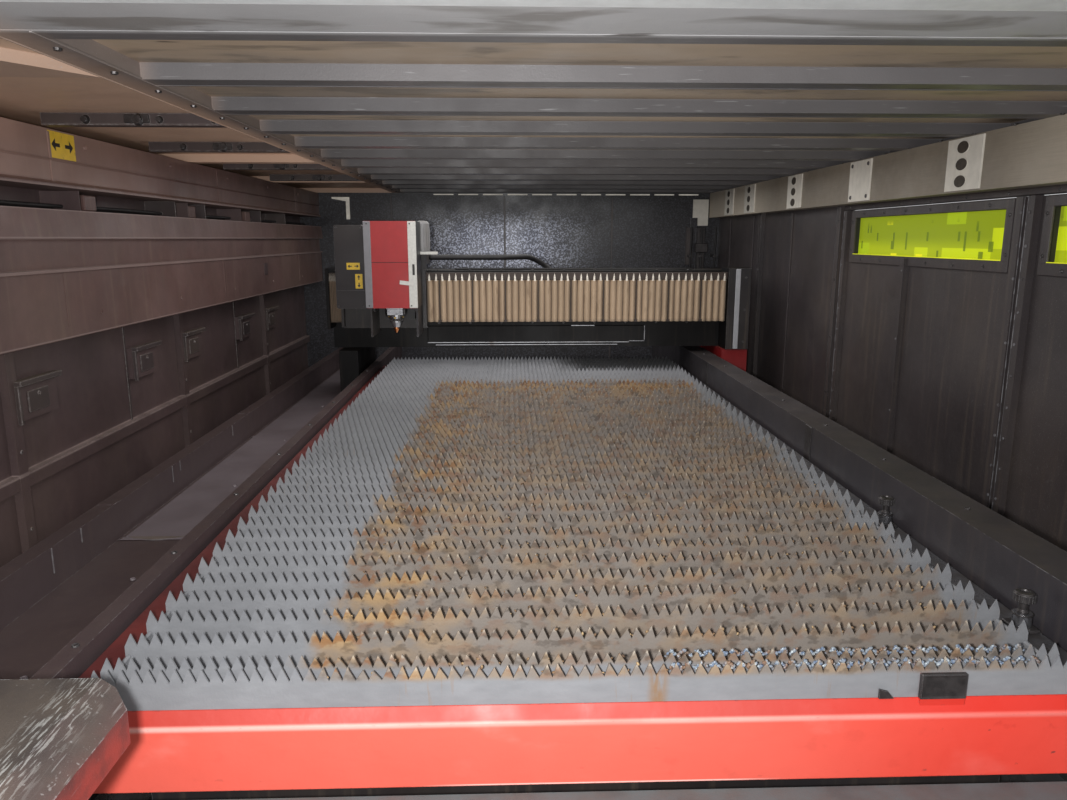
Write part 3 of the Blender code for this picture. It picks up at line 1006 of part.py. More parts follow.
def tube(route, radius):
    """A closed tube along a route of points."""
    shape = bmesh.new()
    rings = []
    for place, point in enumerate(route):
        before, after = route[max(place - 1, 0)], route[min(place + 1, len(route) - 1)]
        turn = (Vector(after) - Vector(before)).to_track_quat("Z", "Y")
        ring = []
        for step in range(ROUND_SIDES):
            angle = math.tau * step / ROUND_SIDES
            offset = turn @ Vector((radius * math.cos(angle), radius * math.sin(angle), 0))
            ring.append(shape.verts.new(Vector(point) + offset))
        rings.append(ring)
    for ring, further in zip(rings, rings[1:]):
        for side in range(ROUND_SIDES):
            shape.faces.new((ring[side], ring[side - 1], further[side - 1], further[side]))
    shape.faces.new(rings[0])
    shape.faces.new(rings[-1])
    bmesh.ops.recalc_face_normals(shape, faces=shape.faces)
    return shape


def eased(start, end, share):
    """A value between two, with a slow start and a slow end."""
    return start + (end - start) * (1 - math.cos(math.pi * share)) / 2


def conduit():
    """The stretch conduit: level from the carriage's arm, then down behind the beam to its clip."""
    route = [(at(CARRIAGE_RIGHT) + GAP, CONDUIT_Y, CONDUIT_Z)]
    steps = 2 * ARC_STEPS
    for step in range(steps + 1):
        share = step / steps
        x = at(CONDUIT_DIP_U) + (CONDUIT_LOW_U - CONDUIT_DIP_U) * share
        back = eased(CONDUIT_Y, CONDUIT_BACK_Y, min(share / CONDUIT_BACK_SHARE, 1))
        drop = eased(CONDUIT_Z, CONDUIT_LOW_Z, max((share - CONDUIT_LEVEL_SHARE) / (1 - CONDUIT_LEVEL_SHARE), 0))
        route.append((x, back, drop))
    route.append((at(GANTRY_RIGHT) - CLIP_WIDTH - GAP, CONDUIT_BACK_Y, CONDUIT_LOW_Z))
    return part("conduit", "rubber_black", [tube(route, CONDUIT_RADIUS)])


def carriage_frame():
    """The carriage: plate, bearing blocks, cheeks, Z unit, skirts, conduit arm and belt case."""
    left, right = at(CARRIAGE_LEFT), at(CARRIAGE_RIGHT)
    plate_back = PLATE_FRONT_Y + PLATE_THICK
    shapes = [block((left, PLATE_FRONT_Y, PLATE_LOW), (right, plate_back, PLATE_TOP))]
    block_back = GANTRY_Y - BLOCK_DROP
    cuts = []
    for z in (X_RAIL_LOW_Z, X_RAIL_TOP_Z):
        for x in (left + CARRIAGE_BLOCK_INSET, right - CARRIAGE_BLOCK_INSET - CARRIAGE_BLOCK_LENGTH):
            shapes.append(block((x, plate_back - LAP, z - CARRIAGE_BLOCK_HALF),
                                (x + CARRIAGE_BLOCK_LENGTH, block_back, z + CARRIAGE_BLOCK_HALF)))
        cuts.append(block((left - OVERRUN, GANTRY_Y - RAIL_HEIGHT - GAP, z - RAIL_WIDTH / 2 - GAP),
                          (right + OVERRUN, block_back + OVERRUN, z + RAIL_WIDTH / 2 + GAP)))
    for x in (left, right - CHEEK_THICK):
        shapes.append(block((x, BELLOWS_FRONT_Y - BELLOWS_THICK, CHEEK_LOW), (x + CHEEK_THICK, PLATE_FRONT_Y + LAP,
                                                                            CHEEK_TOP)))
    unit = at(HEAD_U)
    shapes.append(block((unit - UNIT_HALF, UNIT_FRONT_Y, UNIT_LOW), (unit + UNIT_HALF, PLATE_FRONT_Y + LAP,
                                                                   UNIT_TOP)))
    for x in (at(COVER_LEFT) + SKIRT_THICK, at(COVER_RIGHT) - 2 * SKIRT_THICK):
        shapes.append(block((x, SKIRT_FRONT_Y, SKIRT_LOW), (x + SKIRT_THICK, PLATE_FRONT_Y + LAP,
                                                          COVER_LOW - GAP)))
    shapes.append(block((right - ARM_WIDTH, PLATE_FRONT_Y, ARM_LOW), (right, ARM_BACK_Y, ARM_TOP)))
    shapes.append(block((unit + UNIT_HALF - LAP, COVER_BACK_Y + GAP, BELT_CASE_LOW),
                        (at(BELT_CASE_RIGHT), PLATE_FRONT_Y + LAP, BELT_CASE_TOP)))
    return part("carriage_frame", "frame_black", shapes, cuts)


def electronics_box():
    """The dark box on the carriage, left of the head."""
    outline = rounded((at(BOX_LEFT), BOX_LOW), (at(BOX_RIGHT), BOX_TOP), END_BEAM_ROUND, 2)
    return part("electronics_box", "cover_black", [extruded(outline, "Y", BOX_FRONT_Y, PLATE_FRONT_Y - GAP)])


def head_cover():
    """The red cover round the Z unit, open at its bottom and back, with rounded front edges."""
    low, high = (at(COVER_LEFT), COVER_FRONT_Y), (at(COVER_RIGHT), UNIT_FRONT_Y + COVER_ROUND)
    outline = rounded(low, high, COVER_ROUND, 3)
    shell = extruded(outline, "Z", COVER_LOW, COVER_TOP)
    squared = block((low[0] - OVERRUN, COVER_BACK_Y, COVER_LOW - OVERRUN),
                    (high[0] + OVERRUN, high[1] + OVERRUN, COVER_TOP + OVERRUN))
    hollow = block((low[0] + SHEET, low[1] + SHEET, COVER_LOW - OVERRUN),
                   (high[0] - SHEET, high[1] + OVERRUN, COVER_TOP - SHEET))
    made = part("head_cover", "head_red", [shell], [hollow, squared])
    combine(made, [block((at(HEAD_U - UNIT_HALF), COVER_BACK_Y - SHEET, UNIT_TOP + GAP),
                         (at(HEAD_U + UNIT_HALF), PLATE_FRONT_Y, COVER_TOP - LAP))], "UNION")


def z_motor():
    """The grey servo motor of the Z axis, standing on the belt case."""
    base = BELT_CASE_TOP + GAP
    profile = [(MOTOR_RADIUS, base), (MOTOR_RADIUS, MOTOR_TOP - COVER_ROUND),
               (MOTOR_RADIUS - COVER_ROUND / 2, MOTOR_TOP - COVER_ROUND / 3),
               (MOTOR_RADIUS - COVER_ROUND, MOTOR_TOP)]
    return part("z_motor", "guard_grey", [turned(profile, (at(MOTOR_U), MOTOR_Y, 0), sides=24)])


def cutting_head():
    """The cutting head on its slide: square body, barrel and cone."""
    x, y = at(HEAD_U), HEAD_Y
    slide_back = UNIT_FRONT_Y - GAP
    shapes = [block((x - SLIDE_HALF, slide_back - SLIDE_THICK, SLIDE_LOW), (x + SLIDE_HALF, slide_back, SLIDE_TOP))]
    shapes.append(block((x - BODY_HALF, y - BODY_HALF, BODY_LOW), (x + BODY_HALF, slide_back - SLIDE_THICK + LAP,
                                                                 BODY_TOP)))
    shapes.append(rod((x, y, BARREL_LOW), (x, y, BODY_LOW + LAP), BARREL_RADIUS))
    shapes.append(rod((x, y, CONE_LOW), (x, y, BARREL_LOW + LAP), CONE_RADIUS, BARREL_RADIUS - LAP))
    return part("cutting_head", "clamp_steel", shapes)


def nozzle():
    """The copper nozzle under the cutting head."""
    top = CONE_LOW - GAP
    profile = [(NOZZLE_TIP_RADIUS, NOZZLE_LOW), (NOZZLE_RADIUS, top - NOZZLE_RIM), (NOZZLE_RADIUS, top)]
    return part("nozzle", "copper", [turned(profile, (at(HEAD_U), HEAD_Y, 0))])


def console_arm():
    """The swivel arm of the console, on a vertical pivot in front of the right door post."""
    top = ARM_Z + PIVOT_LENGTH / 2
    low = ARM_Z - PIVOT_LENGTH / 2
    end = PIVOT_Y - ARM_REACH
    shapes = [rod((ARM_X, PIVOT_Y, low), (ARM_X, PIVOT_Y, top), PIVOT_RADIUS),
              block((ARM_X - ARM_RADIUS, end, ARM_Z - ARM_RADIUS), (ARM_X + ARM_RADIUS, PIVOT_Y, ARM_Z + ARM_RADIUS)),
              block((CONSOLE_X - ARM_RADIUS, end - ARM_RADIUS, ARM_Z - ARM_RADIUS),
                    (ARM_X + ARM_RADIUS, end + ARM_RADIUS, ARM_Z + ARM_RADIUS)),
              rod((CONSOLE_X, end, CONSOLE_TOP + GAP), (CONSOLE_X, end, ARM_Z), ARM_RADIUS)]
    made = part("console_arm", "guard_grey", shapes)
    set_axis(made, (ARM_X, PIVOT_Y, ARM_Z))


def console():
    """The console's case, with its key shelf."""
    y = PIVOT_Y - ARM_REACH
    outline = rounded((CONSOLE_X - CONSOLE_HALF_X, CONSOLE_LOW), (CONSOLE_X + CONSOLE_HALF_X, CONSOLE_TOP),
                      COVER_ROUND)
    front = y - CONSOLE_DEPTH / 2
    shapes = [extruded(outline, "Y", front, y + CONSOLE_DEPTH / 2),
              block((CONSOLE_X - CONSOLE_HALF_X + COVER_ROUND, front - KEY_SHELF_DEPTH, CONSOLE_LOW),
                    (CONSOLE_X + CONSOLE_HALF_X - COVER_ROUND, front + LAP, CONSOLE_LOW + KEY_SHELF_THICK))]
    stem_y = front - KEY_SHELF_DEPTH / 2
    top = CONSOLE_LOW + KEY_SHELF_THICK
    hole = rod((CONSOLE_X + STOP_BUTTON_SIDE, stem_y, top - STOP_STEM_HEIGHT), (CONSOLE_X + STOP_BUTTON_SIDE, stem_y,
                                                                             top + OVERRUN),
               STOP_STEM_RADIUS + GAP)
    part("console", "console_grey", shapes, [hole])
    stem = rod((CONSOLE_X + STOP_BUTTON_SIDE, stem_y, top - STOP_STEM_HEIGHT + CLAMP_CAP_EDGE * 2),
               (CONSOLE_X + STOP_BUTTON_SIDE, stem_y, top + STOP_STEM_HEIGHT), STOP_STEM_RADIUS)
    cap = rod((CONSOLE_X + STOP_BUTTON_SIDE, stem_y, top + STOP_STEM_HEIGHT - LAP),
              (CONSOLE_X + STOP_BUTTON_SIDE, stem_y, top + STOP_STEM_HEIGHT + STOP_BUTTON_HEIGHT),
              STOP_BUTTON_RADIUS, STOP_BUTTON_RADIUS - CLAMP_CAP_EDGE)
    made = part("stop_button", "stop_red", [stem, cap])
    set_axis(made, (CONSOLE_X + STOP_BUTTON_SIDE, stem_y, top))


def main():
    clear_scene()
    bed_frame()
    gantry_rails()
    pallet_rails()
    rail_covers()
    left_tray()
    slag_hopper()
    scrap_drawers()
    front_frame()
    door_leaves()
    roof()
    left_wall()
    left_hood()
    right_wall()
    side_doors()
    cable_duct()
    back_wall()
    cabinet()
    cabinet_doors()
    laser_source()
    station_frame()
    drive_hood()
    pallet_frame()
    pallet_wheels()
    slat_banks()
    edge_strip()
    clamp_knobs()
    gantry_beam()
    saddle("saddle_left", "frame_black", SADDLE_LEFT_IN, SADDLE_LEFT_OUT, RAIL_LEFT_U)
    saddle("saddle_right", "pallet_red", SADDLE_RIGHT_IN, SADDLE_RIGHT_OUT, RAIL_RIGHT_U)
    end_guard()
    both_bellows()
    conduit()
    carriage_frame()
    electronics_box()
    head_cover()
    z_motor()
    cutting_head()
    nozzle()
    console_arm()
    console()


main()
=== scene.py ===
"""The looks of an enclosed fiber laser cutting machine.

Toothed slats, pleated bellows, fittings and painted, worn and dusty finishes, some with light and shade
painted into their colours, are set around the machine's CAD part. Metres, +Z up, +Y into the cabin, +X to the
right.
"""

import functools
import itertools
import math
import random

import bmesh
import bpy
from bpy.props import FloatProperty, FloatVectorProperty, IntProperty, PointerProperty
from mathutils import Matrix, Vector


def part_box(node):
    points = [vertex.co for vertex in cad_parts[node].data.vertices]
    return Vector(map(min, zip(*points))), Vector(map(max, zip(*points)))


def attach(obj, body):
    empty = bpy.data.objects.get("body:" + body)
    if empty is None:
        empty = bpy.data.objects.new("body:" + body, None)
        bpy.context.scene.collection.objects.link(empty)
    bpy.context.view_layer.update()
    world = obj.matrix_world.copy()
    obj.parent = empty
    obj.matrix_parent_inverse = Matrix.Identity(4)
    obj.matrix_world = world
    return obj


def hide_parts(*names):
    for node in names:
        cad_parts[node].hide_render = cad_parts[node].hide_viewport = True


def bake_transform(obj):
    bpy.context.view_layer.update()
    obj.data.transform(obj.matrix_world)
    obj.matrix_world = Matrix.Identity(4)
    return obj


bl_info = {
    "name": "Laser Cutting Machine",
    "version": (1, 0, 0),
    "blender": (4, 5, 0),
    "location": "3D View > Sidebar > Laser Cutter",
    "description": "Builds the slats, bellows, fittings and finishes of a laser cutting machine",
    "category": "Object",
}

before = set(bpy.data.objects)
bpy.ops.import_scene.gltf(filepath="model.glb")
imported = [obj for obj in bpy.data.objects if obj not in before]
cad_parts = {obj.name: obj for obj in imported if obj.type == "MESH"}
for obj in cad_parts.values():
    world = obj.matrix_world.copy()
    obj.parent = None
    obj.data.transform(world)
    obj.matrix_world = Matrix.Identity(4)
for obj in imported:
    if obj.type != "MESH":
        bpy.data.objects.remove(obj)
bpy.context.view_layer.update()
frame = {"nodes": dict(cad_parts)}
NODES = frame["nodes"]

SHEET = 0.004                   # sheet metal
OUTER_X, OUTER_Y = 1.3982, 3.5982   # just inside the outer skins of the side walls and the back wall
UP, DOWN, FRONT, BACK, RIGHT, LEFT = ((0, 0, 1), (0, 0, -1), (0, -1, 0), (0, 1, 0), (1, 0, 0), (-1, 0, 0))


def linear(red, green, blue):
    """A colour as it looks on a screen, 0 to 255, in linear light."""
    shares = (value / 255 for value in (red, green, blue))
    return tuple(v / 12.92 if v <= 0.04045 else ((v + 0.055) / 1.055) ** 2.4 for v in shares)


def paint_property(name, description, red, green, blue):
    return FloatVectorProperty(name=name, description=description, subtype="COLOR", size=3, min=0, max=1,
                               default=linear(red, green, blue))


def length_property(name, description, metres):
    return FloatProperty(name=name, description=description, subtype="DISTANCE", unit="LENGTH", min=0,
                         default=metres)


# ---------------------------------------------------------------- settings

class SlatSettings(bpy.types.PropertyGroup):
    teeth: IntProperty(name="Teeth", description="Saw teeth along one slat", default=76, min=4)
    count: IntProperty(name="Slats", description="Slats across the pallet", default=42, min=2)
    tooth_height: length_property("Tooth height", "From the valley between two teeth to their tips", 0.024)
    thickness: length_property("Thickness", "Thickness of one slat", 0.003)
    first_step: length_property("First step", "From the first slat to the second", 0.037)
    pitch: length_property("Pitch", "From each further slat to the next", 0.081)
    burnt_left: FloatProperty(name="Burnt from", description="Left end of the burnt zone", unit="LENGTH",
                              default=-0.352)
    burnt_right: FloatProperty(name="Burnt to", description="Right end of the burnt zone", unit="LENGTH",
                               default=0.80)
    burnt_back: FloatProperty(name="Burnt depth", description="Far end of the burnt zone", unit="LENGTH",
                              default=1.90)


class PaintSettings(bpy.types.PropertyGroup):
    cabin: paint_property("Cabin paint", "Dark paint of the walls", 62, 56, 57)
    hood: paint_property("Hood paint", "Brownish dark paint of the left hood", 108, 83, 79)
    left: paint_property("Left wall paint", "Brownish dark paint of the left wall", 86, 70, 70)
    roof: paint_property("Roof paint", "Grey paint of the roof's ribs", 104, 101, 102)
    roof_beam: paint_property("Roof beam paint", "Lighter grey paint of the roof's front beam", 178, 177, 178)
    duct: paint_property("Duct paint", "Paint of the duct under the roof", 140, 130, 116)
    pallet: paint_property("Pallet paint", "Red paint of the pallet", 228, 96, 80)
    head: paint_property("Head paint", "Red paint of the cutting head's cover", 160, 22, 24)
    guard: paint_property("Guard paint", "Light grey trims and guards", 168, 168, 172)
    skin: paint_property("Outer paint", "Pale outer skins", 214, 216, 216)
    frame: paint_property("Frame paint", "Dark paint of the bed", 36, 33, 35)
    slat: paint_property("Slat steel", "Dull steel of the slats", 158, 159, 162)
    bellows: paint_property("Bellows cloth", "Coated cloth of the bellows", 176, 152, 126)
    window: paint_property("Window", "Laser-safe acrylic of the side windows", 142, 156, 28)


class BellowsSettings(bpy.types.PropertyGroup):
    folds: IntProperty(name="Folds", description="Pleats of the long bellows", default=46, min=4)
    fold_depth: length_property("Fold depth", "Depth of one pleat", 0.021)
    pin_height: length_property("Pin height", "Height of the pins over each pleat", 0.038)


class StageSettings(bpy.types.PropertyGroup):
    eye: FloatVectorProperty(name="Eye", description="Place of the camera", subtype="TRANSLATION", size=3,
                             default=(-0.025, -1.80, 1.59))
    tilt: FloatProperty(name="Tilt", description="How far the view points down", subtype="ANGLE",
                        default=math.radians(11.4))
    turn: FloatProperty(name="Turn", description="How far the view turns right", subtype="ANGLE",
                        default=math.radians(1.8))
    lens: FloatProperty(name="Lens", description="Focal length on a 36 mm wide sensor", default=27.03, min=5)


class MachineSettings(bpy.types.PropertyGroup):
    slats: PointerProperty(type=SlatSettings)
    paints: PointerProperty(type=PaintSettings)
    bellows: PointerProperty(type=BellowsSettings)
    stage: PointerProperty(type=StageSettings)


def settings():
    return bpy.context.scene.laser_cutter


def paint(name):
    return tuple(getattr(settings().paints, name))


def tone(colour):
    """A screen colour in whole numbers is made linear. A paint of the settings already is."""
    return linear(*colour) if isinstance(colour[0], int) else colour


# ---------------------------------------------------------------- finishes

def finish(build):
    """Makes a finish's material the first time that it is asked for."""
    return functools.cache(lambda *names: build(*names).done())


class Finish:
    """One material's nodes, laid down layer by layer over a ground colour."""

    def __init__(self, name, ground, roughness=0.5, metallic=0.0):
        self.material = bpy.data.materials.new(name)
        self.material.use_nodes = True
        self.nodes, self.links = self.material.node_tree.nodes, self.material.node_tree.links
        self.shader = self.nodes["Principled BSDF"]
        self.shader.inputs["Roughness"].default_value = roughness
        self.shader.inputs["Metallic"].default_value = metallic
        self.coordinates = self.nodes.new("ShaderNodeTexCoord")
        self.colour = (*tone(ground), 1)
        self.normal = None

    def feed(self, socket, value):
        if isinstance(value, bpy.types.NodeSocket):
            self.links.new(value, socket)
        else:
            socket.default_value = value

    def node(self, kind, inputs=(), **choices):
        made = self.nodes.new(kind)
        for name, value in choices.items():
            setattr(made, name, value)
        for socket, value in dict(inputs).items():
            self.feed(made.inputs[socket], value)
        return made

    def place(self, size=1.0, stretch=(1, 1, 1), centre=(0, 0, 0)):
        """Object coordinates around a centre, in steps of one size."""
        scale = [1 / (size * value) for value in stretch]
        move = [-value * share for value, share in zip(centre, scale)]
        return self.node("ShaderNodeMapping", {"Vector": self.coordinates.outputs["Object"], "Location": move,
                                               "Scale": scale}).outputs[0]

    def noise(self, size, detail=3.0, stretch=(1, 1, 1), centre=(0, 0, 0), distortion=0.0):
        return self.node("ShaderNodeTexNoise", {"Vector": self.place(size, stretch, centre), "Scale": 1.0,
                                                "Detail": detail, "Distortion": distortion}).outputs["Fac"]

    def step(self, value, low, high, start=0.0, end=1.0):
        """A smooth step of a value, from start at low to end at high."""
        return self.node("ShaderNodeMapRange", {"Value": value, "From Min": low, "From Max": high, "To Min": start,
                                                "To Max": end}, interpolation_type="SMOOTHSTEP").outputs[0]

    def maths(self, operation, first, second=0.5):
        return self.node("ShaderNodeMath", {0: first, 1: second}, operation=operation).outputs[0]

    def product(self, *values):
        made = values[0]
        for value in values[1:]:
            made = self.maths("MULTIPLY", made, value)
        return made

    def axis(self, letter, of="Object"):
        return self.node("ShaderNodeSeparateXYZ", {0: self.coordinates.outputs[of]}).outputs[letter]

    def patches(self, size, detail, low, high, start=0.0, end=1.0, **choices):
        """Noise that goes from start to end between two of its levels."""
        return self.step(self.noise(size, detail, **choices), low, high, start, end)

    def along(self, letter, low, high, start=0.0, end=1.0):
        """From start to end between two places along an axis."""
        return self.step(self.axis(letter), low, high, start, end)

    def span(self, letter, start, end, soft=0.01):
        """One between two places along an axis, and none outside them."""
        value = self.axis(letter)
        return self.product(self.step(value, start - soft, start + soft), self.step(value, end + soft, end - soft))

    def facing(self, letter, low=0.6, high=0.9, sign=1):
        """One where a face looks along an axis."""
        return self.step(self.maths("MULTIPLY", self.axis(letter, "Normal"), sign), low, high)

    def mix(self, blend, amount, colour):
        made = self.node("ShaderNodeMix", {0: amount, 6: self.colour, 7: colour}, data_type="RGBA",
                         blend_type=blend)
        self.colour = made.outputs[2]
        return self

    def layer(self, colour, *amounts):
        """Lays a colour over the others, as much as the product of the amounts."""
        return self.mix("MIX", self.product(*amounts), (*tone(colour), 1))

    def shade(self, size, detail, low, high, **choices):
        """Makes the colour darker or lighter with a noise."""
        level = self.patches(size, detail, 0.25, 0.75, low, high, **choices)
        return self.mix("MULTIPLY", 1.0, self.node("ShaderNodeCombineColor",
                                                   {0: level, 1: level, 2: level}).outputs[0])

    def skin_beyond(self, letter, place):
        """The light paint of the outer skins beyond a place along an axis."""
        return self.layer(paint("skin"), self.along(letter, place, place + math.copysign(0.0008, place)))

    def rounding(self, radius):
        """Rounds the edges' light, as a folded or painted edge has it."""
        self.normal = self.node("ShaderNodeBevel", {"Radius": radius}, samples=3).outputs[0]
        return self

    def edges(self, radius, low=0.99, high=0.80):
        """One along the outer edges, for worn paint."""
        bevel = self.node("ShaderNodeBevel", {"Radius": radius}, samples=3).outputs[0]
        face = self.node("ShaderNodeNewGeometry").outputs["Normal"]
        dot = self.node("ShaderNodeVectorMath", {0: bevel, 1: face}, operation="DOT_PRODUCT").outputs["Value"]
        return self.step(dot, low, high)

    def relief(self, height, depth):
        inputs = {"Height": height, "Distance": depth}
        if self.normal is not None:
            inputs["Normal"] = self.normal
        self.normal = self.node("ShaderNodeBump", inputs).outputs[0]
        return self

    def grain(self, size, detail, depth, **choices):
        return self.relief(self.noise(size, detail, **choices), depth)

    def rough(self, size, detail, low, high):
        self.feed(self.shader.inputs["Roughness"], self.patches(size, detail, 0.25, 0.75, low, high))
        return self

    def glow(self, strength):
        """Lets the surface shine in its own colour."""
        self.feed(self.shader.inputs["Emission Color"], self.colour)
        self.feed(self.shader.inputs["Emission Strength"], strength)

    def done(self):
        self.feed(self.shader.inputs["Base Color"], self.colour)
        if self.normal is not None:
            self.links.new(self.normal, self.shader.inputs["Normal"])
        return self.material


DUST = linear(150, 132, 112)
BARE = linear(196, 196, 198)
SOOT = linear(38, 34, 34)
RUST = linear(142, 92, 52)


def powder_coat(name, colour, grain=0.0022, roughness=0.42, dust=0.0, streaks=0.0, wear=0.0, blotches=0.18,
                painted_glints=0.0, dust_colour=DUST):
    """Painted sheet metal: fine orange-peel grain, uneven sheen, dust on what faces up, streaks and worn edges."""
    made = Finish(name, colour, roughness=roughness)
    made.shade(0.35, 4, 1 - blotches, 1 + blotches)
    made.shade(0.03, 3, 0.94, 1.06)
    if streaks:
        run = made.patches(0.02, 4, 0.52, 0.74, stretch=(1, 1, 18))
        made.layer(dust_colour, run, streaks)
        dark = made.patches(0.03, 4, 0.55, 0.80, stretch=(1, 1, 9), centre=(3, 5, 1))
        made.layer(SOOT, dark, streaks * 0.8)
    if dust:
        patchy = made.patches(0.09, 5, 0.25, 0.62, 0.25, 1.0)
        made.layer(dust_colour, made.facing("Z"), patchy, dust)
        film = made.patches(0.5, 5, 0.38, 0.75, centre=(1, 2, 3))
        made.layer(dust_colour, film, dust * 0.32)
    # Painted glints: bright specks of bare colour stand in for light catching the coat's flakes.
    if painted_glints:
        made.layer(BARE, made.patches(0.0035, 1, 0.62, 0.78), painted_glints)
    if wear:
        made.layer(BARE, made.edges(0.0025), made.patches(0.012, 4, 0.42, 0.60), wear)
    made.grain(grain, 2, 0.00035)
    made.rough(0.16, 5, roughness - 0.08, roughness + 0.10)
    return made


# Screen colour, roughness and metal; size, detail, low and high of the shade; size, detail and depth
# of the grain, where there is one.
PLAIN_FINISHES = {
    "joint_tape": ((58, 46, 40), 0.6, 0.0, (0.01, 3, 0.8, 1.2), (0.003, 2, 0.0002)),
    "sign_black": ((36, 32, 30), 0.5, 0.0, (0.004, 3, 0.8, 1.3), None),
    "tape_white": ((206, 204, 198), 0.5, 0.0, (0.01, 3, 0.9, 1.05), (0.004, 3, 0.0003)),
    "copper": ((196, 128, 84), 0.28, 1.0, (0.004, 4, 0.75, 1.1), (0.0008, 2, 0.00004)),
    "red_plastic": ((196, 26, 26), 0.3, 0.0, (0.01, 3, 0.92, 1.04), (0.001, 2, 0.00003)),
    "hole_dark": ((70, 62, 54), 0.7, 0.0, (0.01, 3, 0.7, 1.2), None),
    "pin_white": ((236, 226, 212), 0.4, 0.0, (0.006, 3, 0.6, 1.15), None),
    "seam_red": ((70, 18, 20), 0.6, 0.0, (0.01, 3, 0.8, 1.2), None),
    "brass": ((196, 166, 104), 0.3, 1.0, (0.003, 3, 0.8, 1.1), (0.0008, 2, 0.00004)),
}

# Powder coats with nothing added: screen colour and the choices of powder_coat.
COATS = {
    "plate_paint": ((232, 226, 214), dict(roughness=0.5, streaks=0.08, wear=0.2, blotches=0.1,
                                          dust_colour=(120, 100, 80))),
    "case_grey": ((112, 115, 120), dict(grain=0.0016, roughness=0.45, dust=0.1, wear=0.15, blotches=0.04)),
    "plate_grey": ((98, 92, 94), dict(roughness=0.45, dust=0.35, wear=0.3, blotches=0.12)),
    "box_paint": ((27, 20, 24), dict(dust=0.15, wear=0.3, blotches=0.1)),
    "motor_grey": ((132, 130, 130), dict(dust=0.3, streaks=0.25, blotches=0.12, dust_colour=(96, 88, 80))),
    "strip_grey": ((126, 124, 128), dict(roughness=0.4, blotches=0.06, wear=0.2)),
    "saddle_red": ((128, 22, 26), dict(roughness=0.4, dust=0.15, blotches=0.1)),
}


@finish
def plain(name):
    """A finish of one colour, a little uneven, with a fine grain on some."""
    colour, roughness, metallic, shade, grain = PLAIN_FINISHES[name]
    made = Finish(name, colour, roughness=roughness, metallic=metallic)
    made.shade(*shade)
    if grain:
        made.grain(*grain)
    return made


@finish
def coated(name):
    colour, choices = COATS[name]
    return powder_coat(name, colour, **choices)


@finish
def wall_paint():
    made = powder_coat("wall_paint", paint("cabin"), dust=0.30, streaks=0.10, painted_glints=0.10)
    return made.skin_beyond("X", OUTER_X)


@finish
def left_paint():
    made = powder_coat("left_paint", paint("left"), dust=0.30, streaks=0.05, painted_glints=0.06)
    # Painted highlight: an uneven lighter band at z 0.95 to 0.96, painted as the lit top of the rail along the
    # wall.
    lit_ledge = made.span("Z", 0.950, 0.960, 0.002)
    made.layer((160, 142, 138), lit_ledge, made.patches(0.1, 4, 0.25, 0.6, 0.5, 1.0), 0.75)
    return made.skin_beyond("X", -OUTER_X)


@finish
def back_paint():
    """The back wall's coarser coat, with a painted reflection where the front light falls straight on it."""
    made = powder_coat("back_paint", (34, 31, 34), grain=0.004, roughness=0.36, dust=0.04)
    x, z = made.axis("X"), made.axis("Z")
    across = made.product(made.step(x, -0.75, -0.20), made.step(x, 0.62, -0.02))
    up = made.product(made.step(z, 1.28, 1.50), made.step(z, 1.80, 1.62))
    # Painted reflection: the middle of the wall's front face is painted lighter and bluer.
    glow = made.product(across, up, made.facing("Y", 0.5, 0.9, -1))
    # Painted glints: bright specks, thick in the painted reflection and few elsewhere.
    painted_specks = made.patches(0.011, 1, 0.52, 0.60)
    fine = made.patches(0.007, 1, 0.58, 0.66, centre=(3, 3, 3))
    made.layer((132, 136, 158), glow, glow, 0.55)
    made.layer((222, 228, 250), painted_specks, made.maths("ADD", made.product(glow, 0.80), 0.03))
    made.layer((222, 228, 250), fine, made.maths("ADD", made.product(glow, 0.50), 0.05))
    return made.skin_beyond("Y", OUTER_Y)


@finish
def hood_paint():
    made = powder_coat("hood_paint", paint("hood"), dust=0.5, streaks=0.16)
    for low, high in ((1.500, 1.509), (1.587, 1.594), (1.664, 1.669), (1.727, 1.732), (1.318, 1.322)):
        made.layer((158, 138, 134), made.span("Z", low, high, 0.0012), 0.55)
    # Painted light: the top band is painted lighter towards the front, where the front light falls strongest; the
    # noise called film only makes it uneven.
    upper = made.product(made.along("Z", 1.735, 1.75), made.along("Y", 1.5, -0.2))
    film = made.patches(0.14, 4, 0.25, 0.7, 0.6, 1.0, stretch=(1, 2, 1), centre=(3, 2, 2))
    made.layer((190, 156, 142), upper, film, 0.85)
    return made


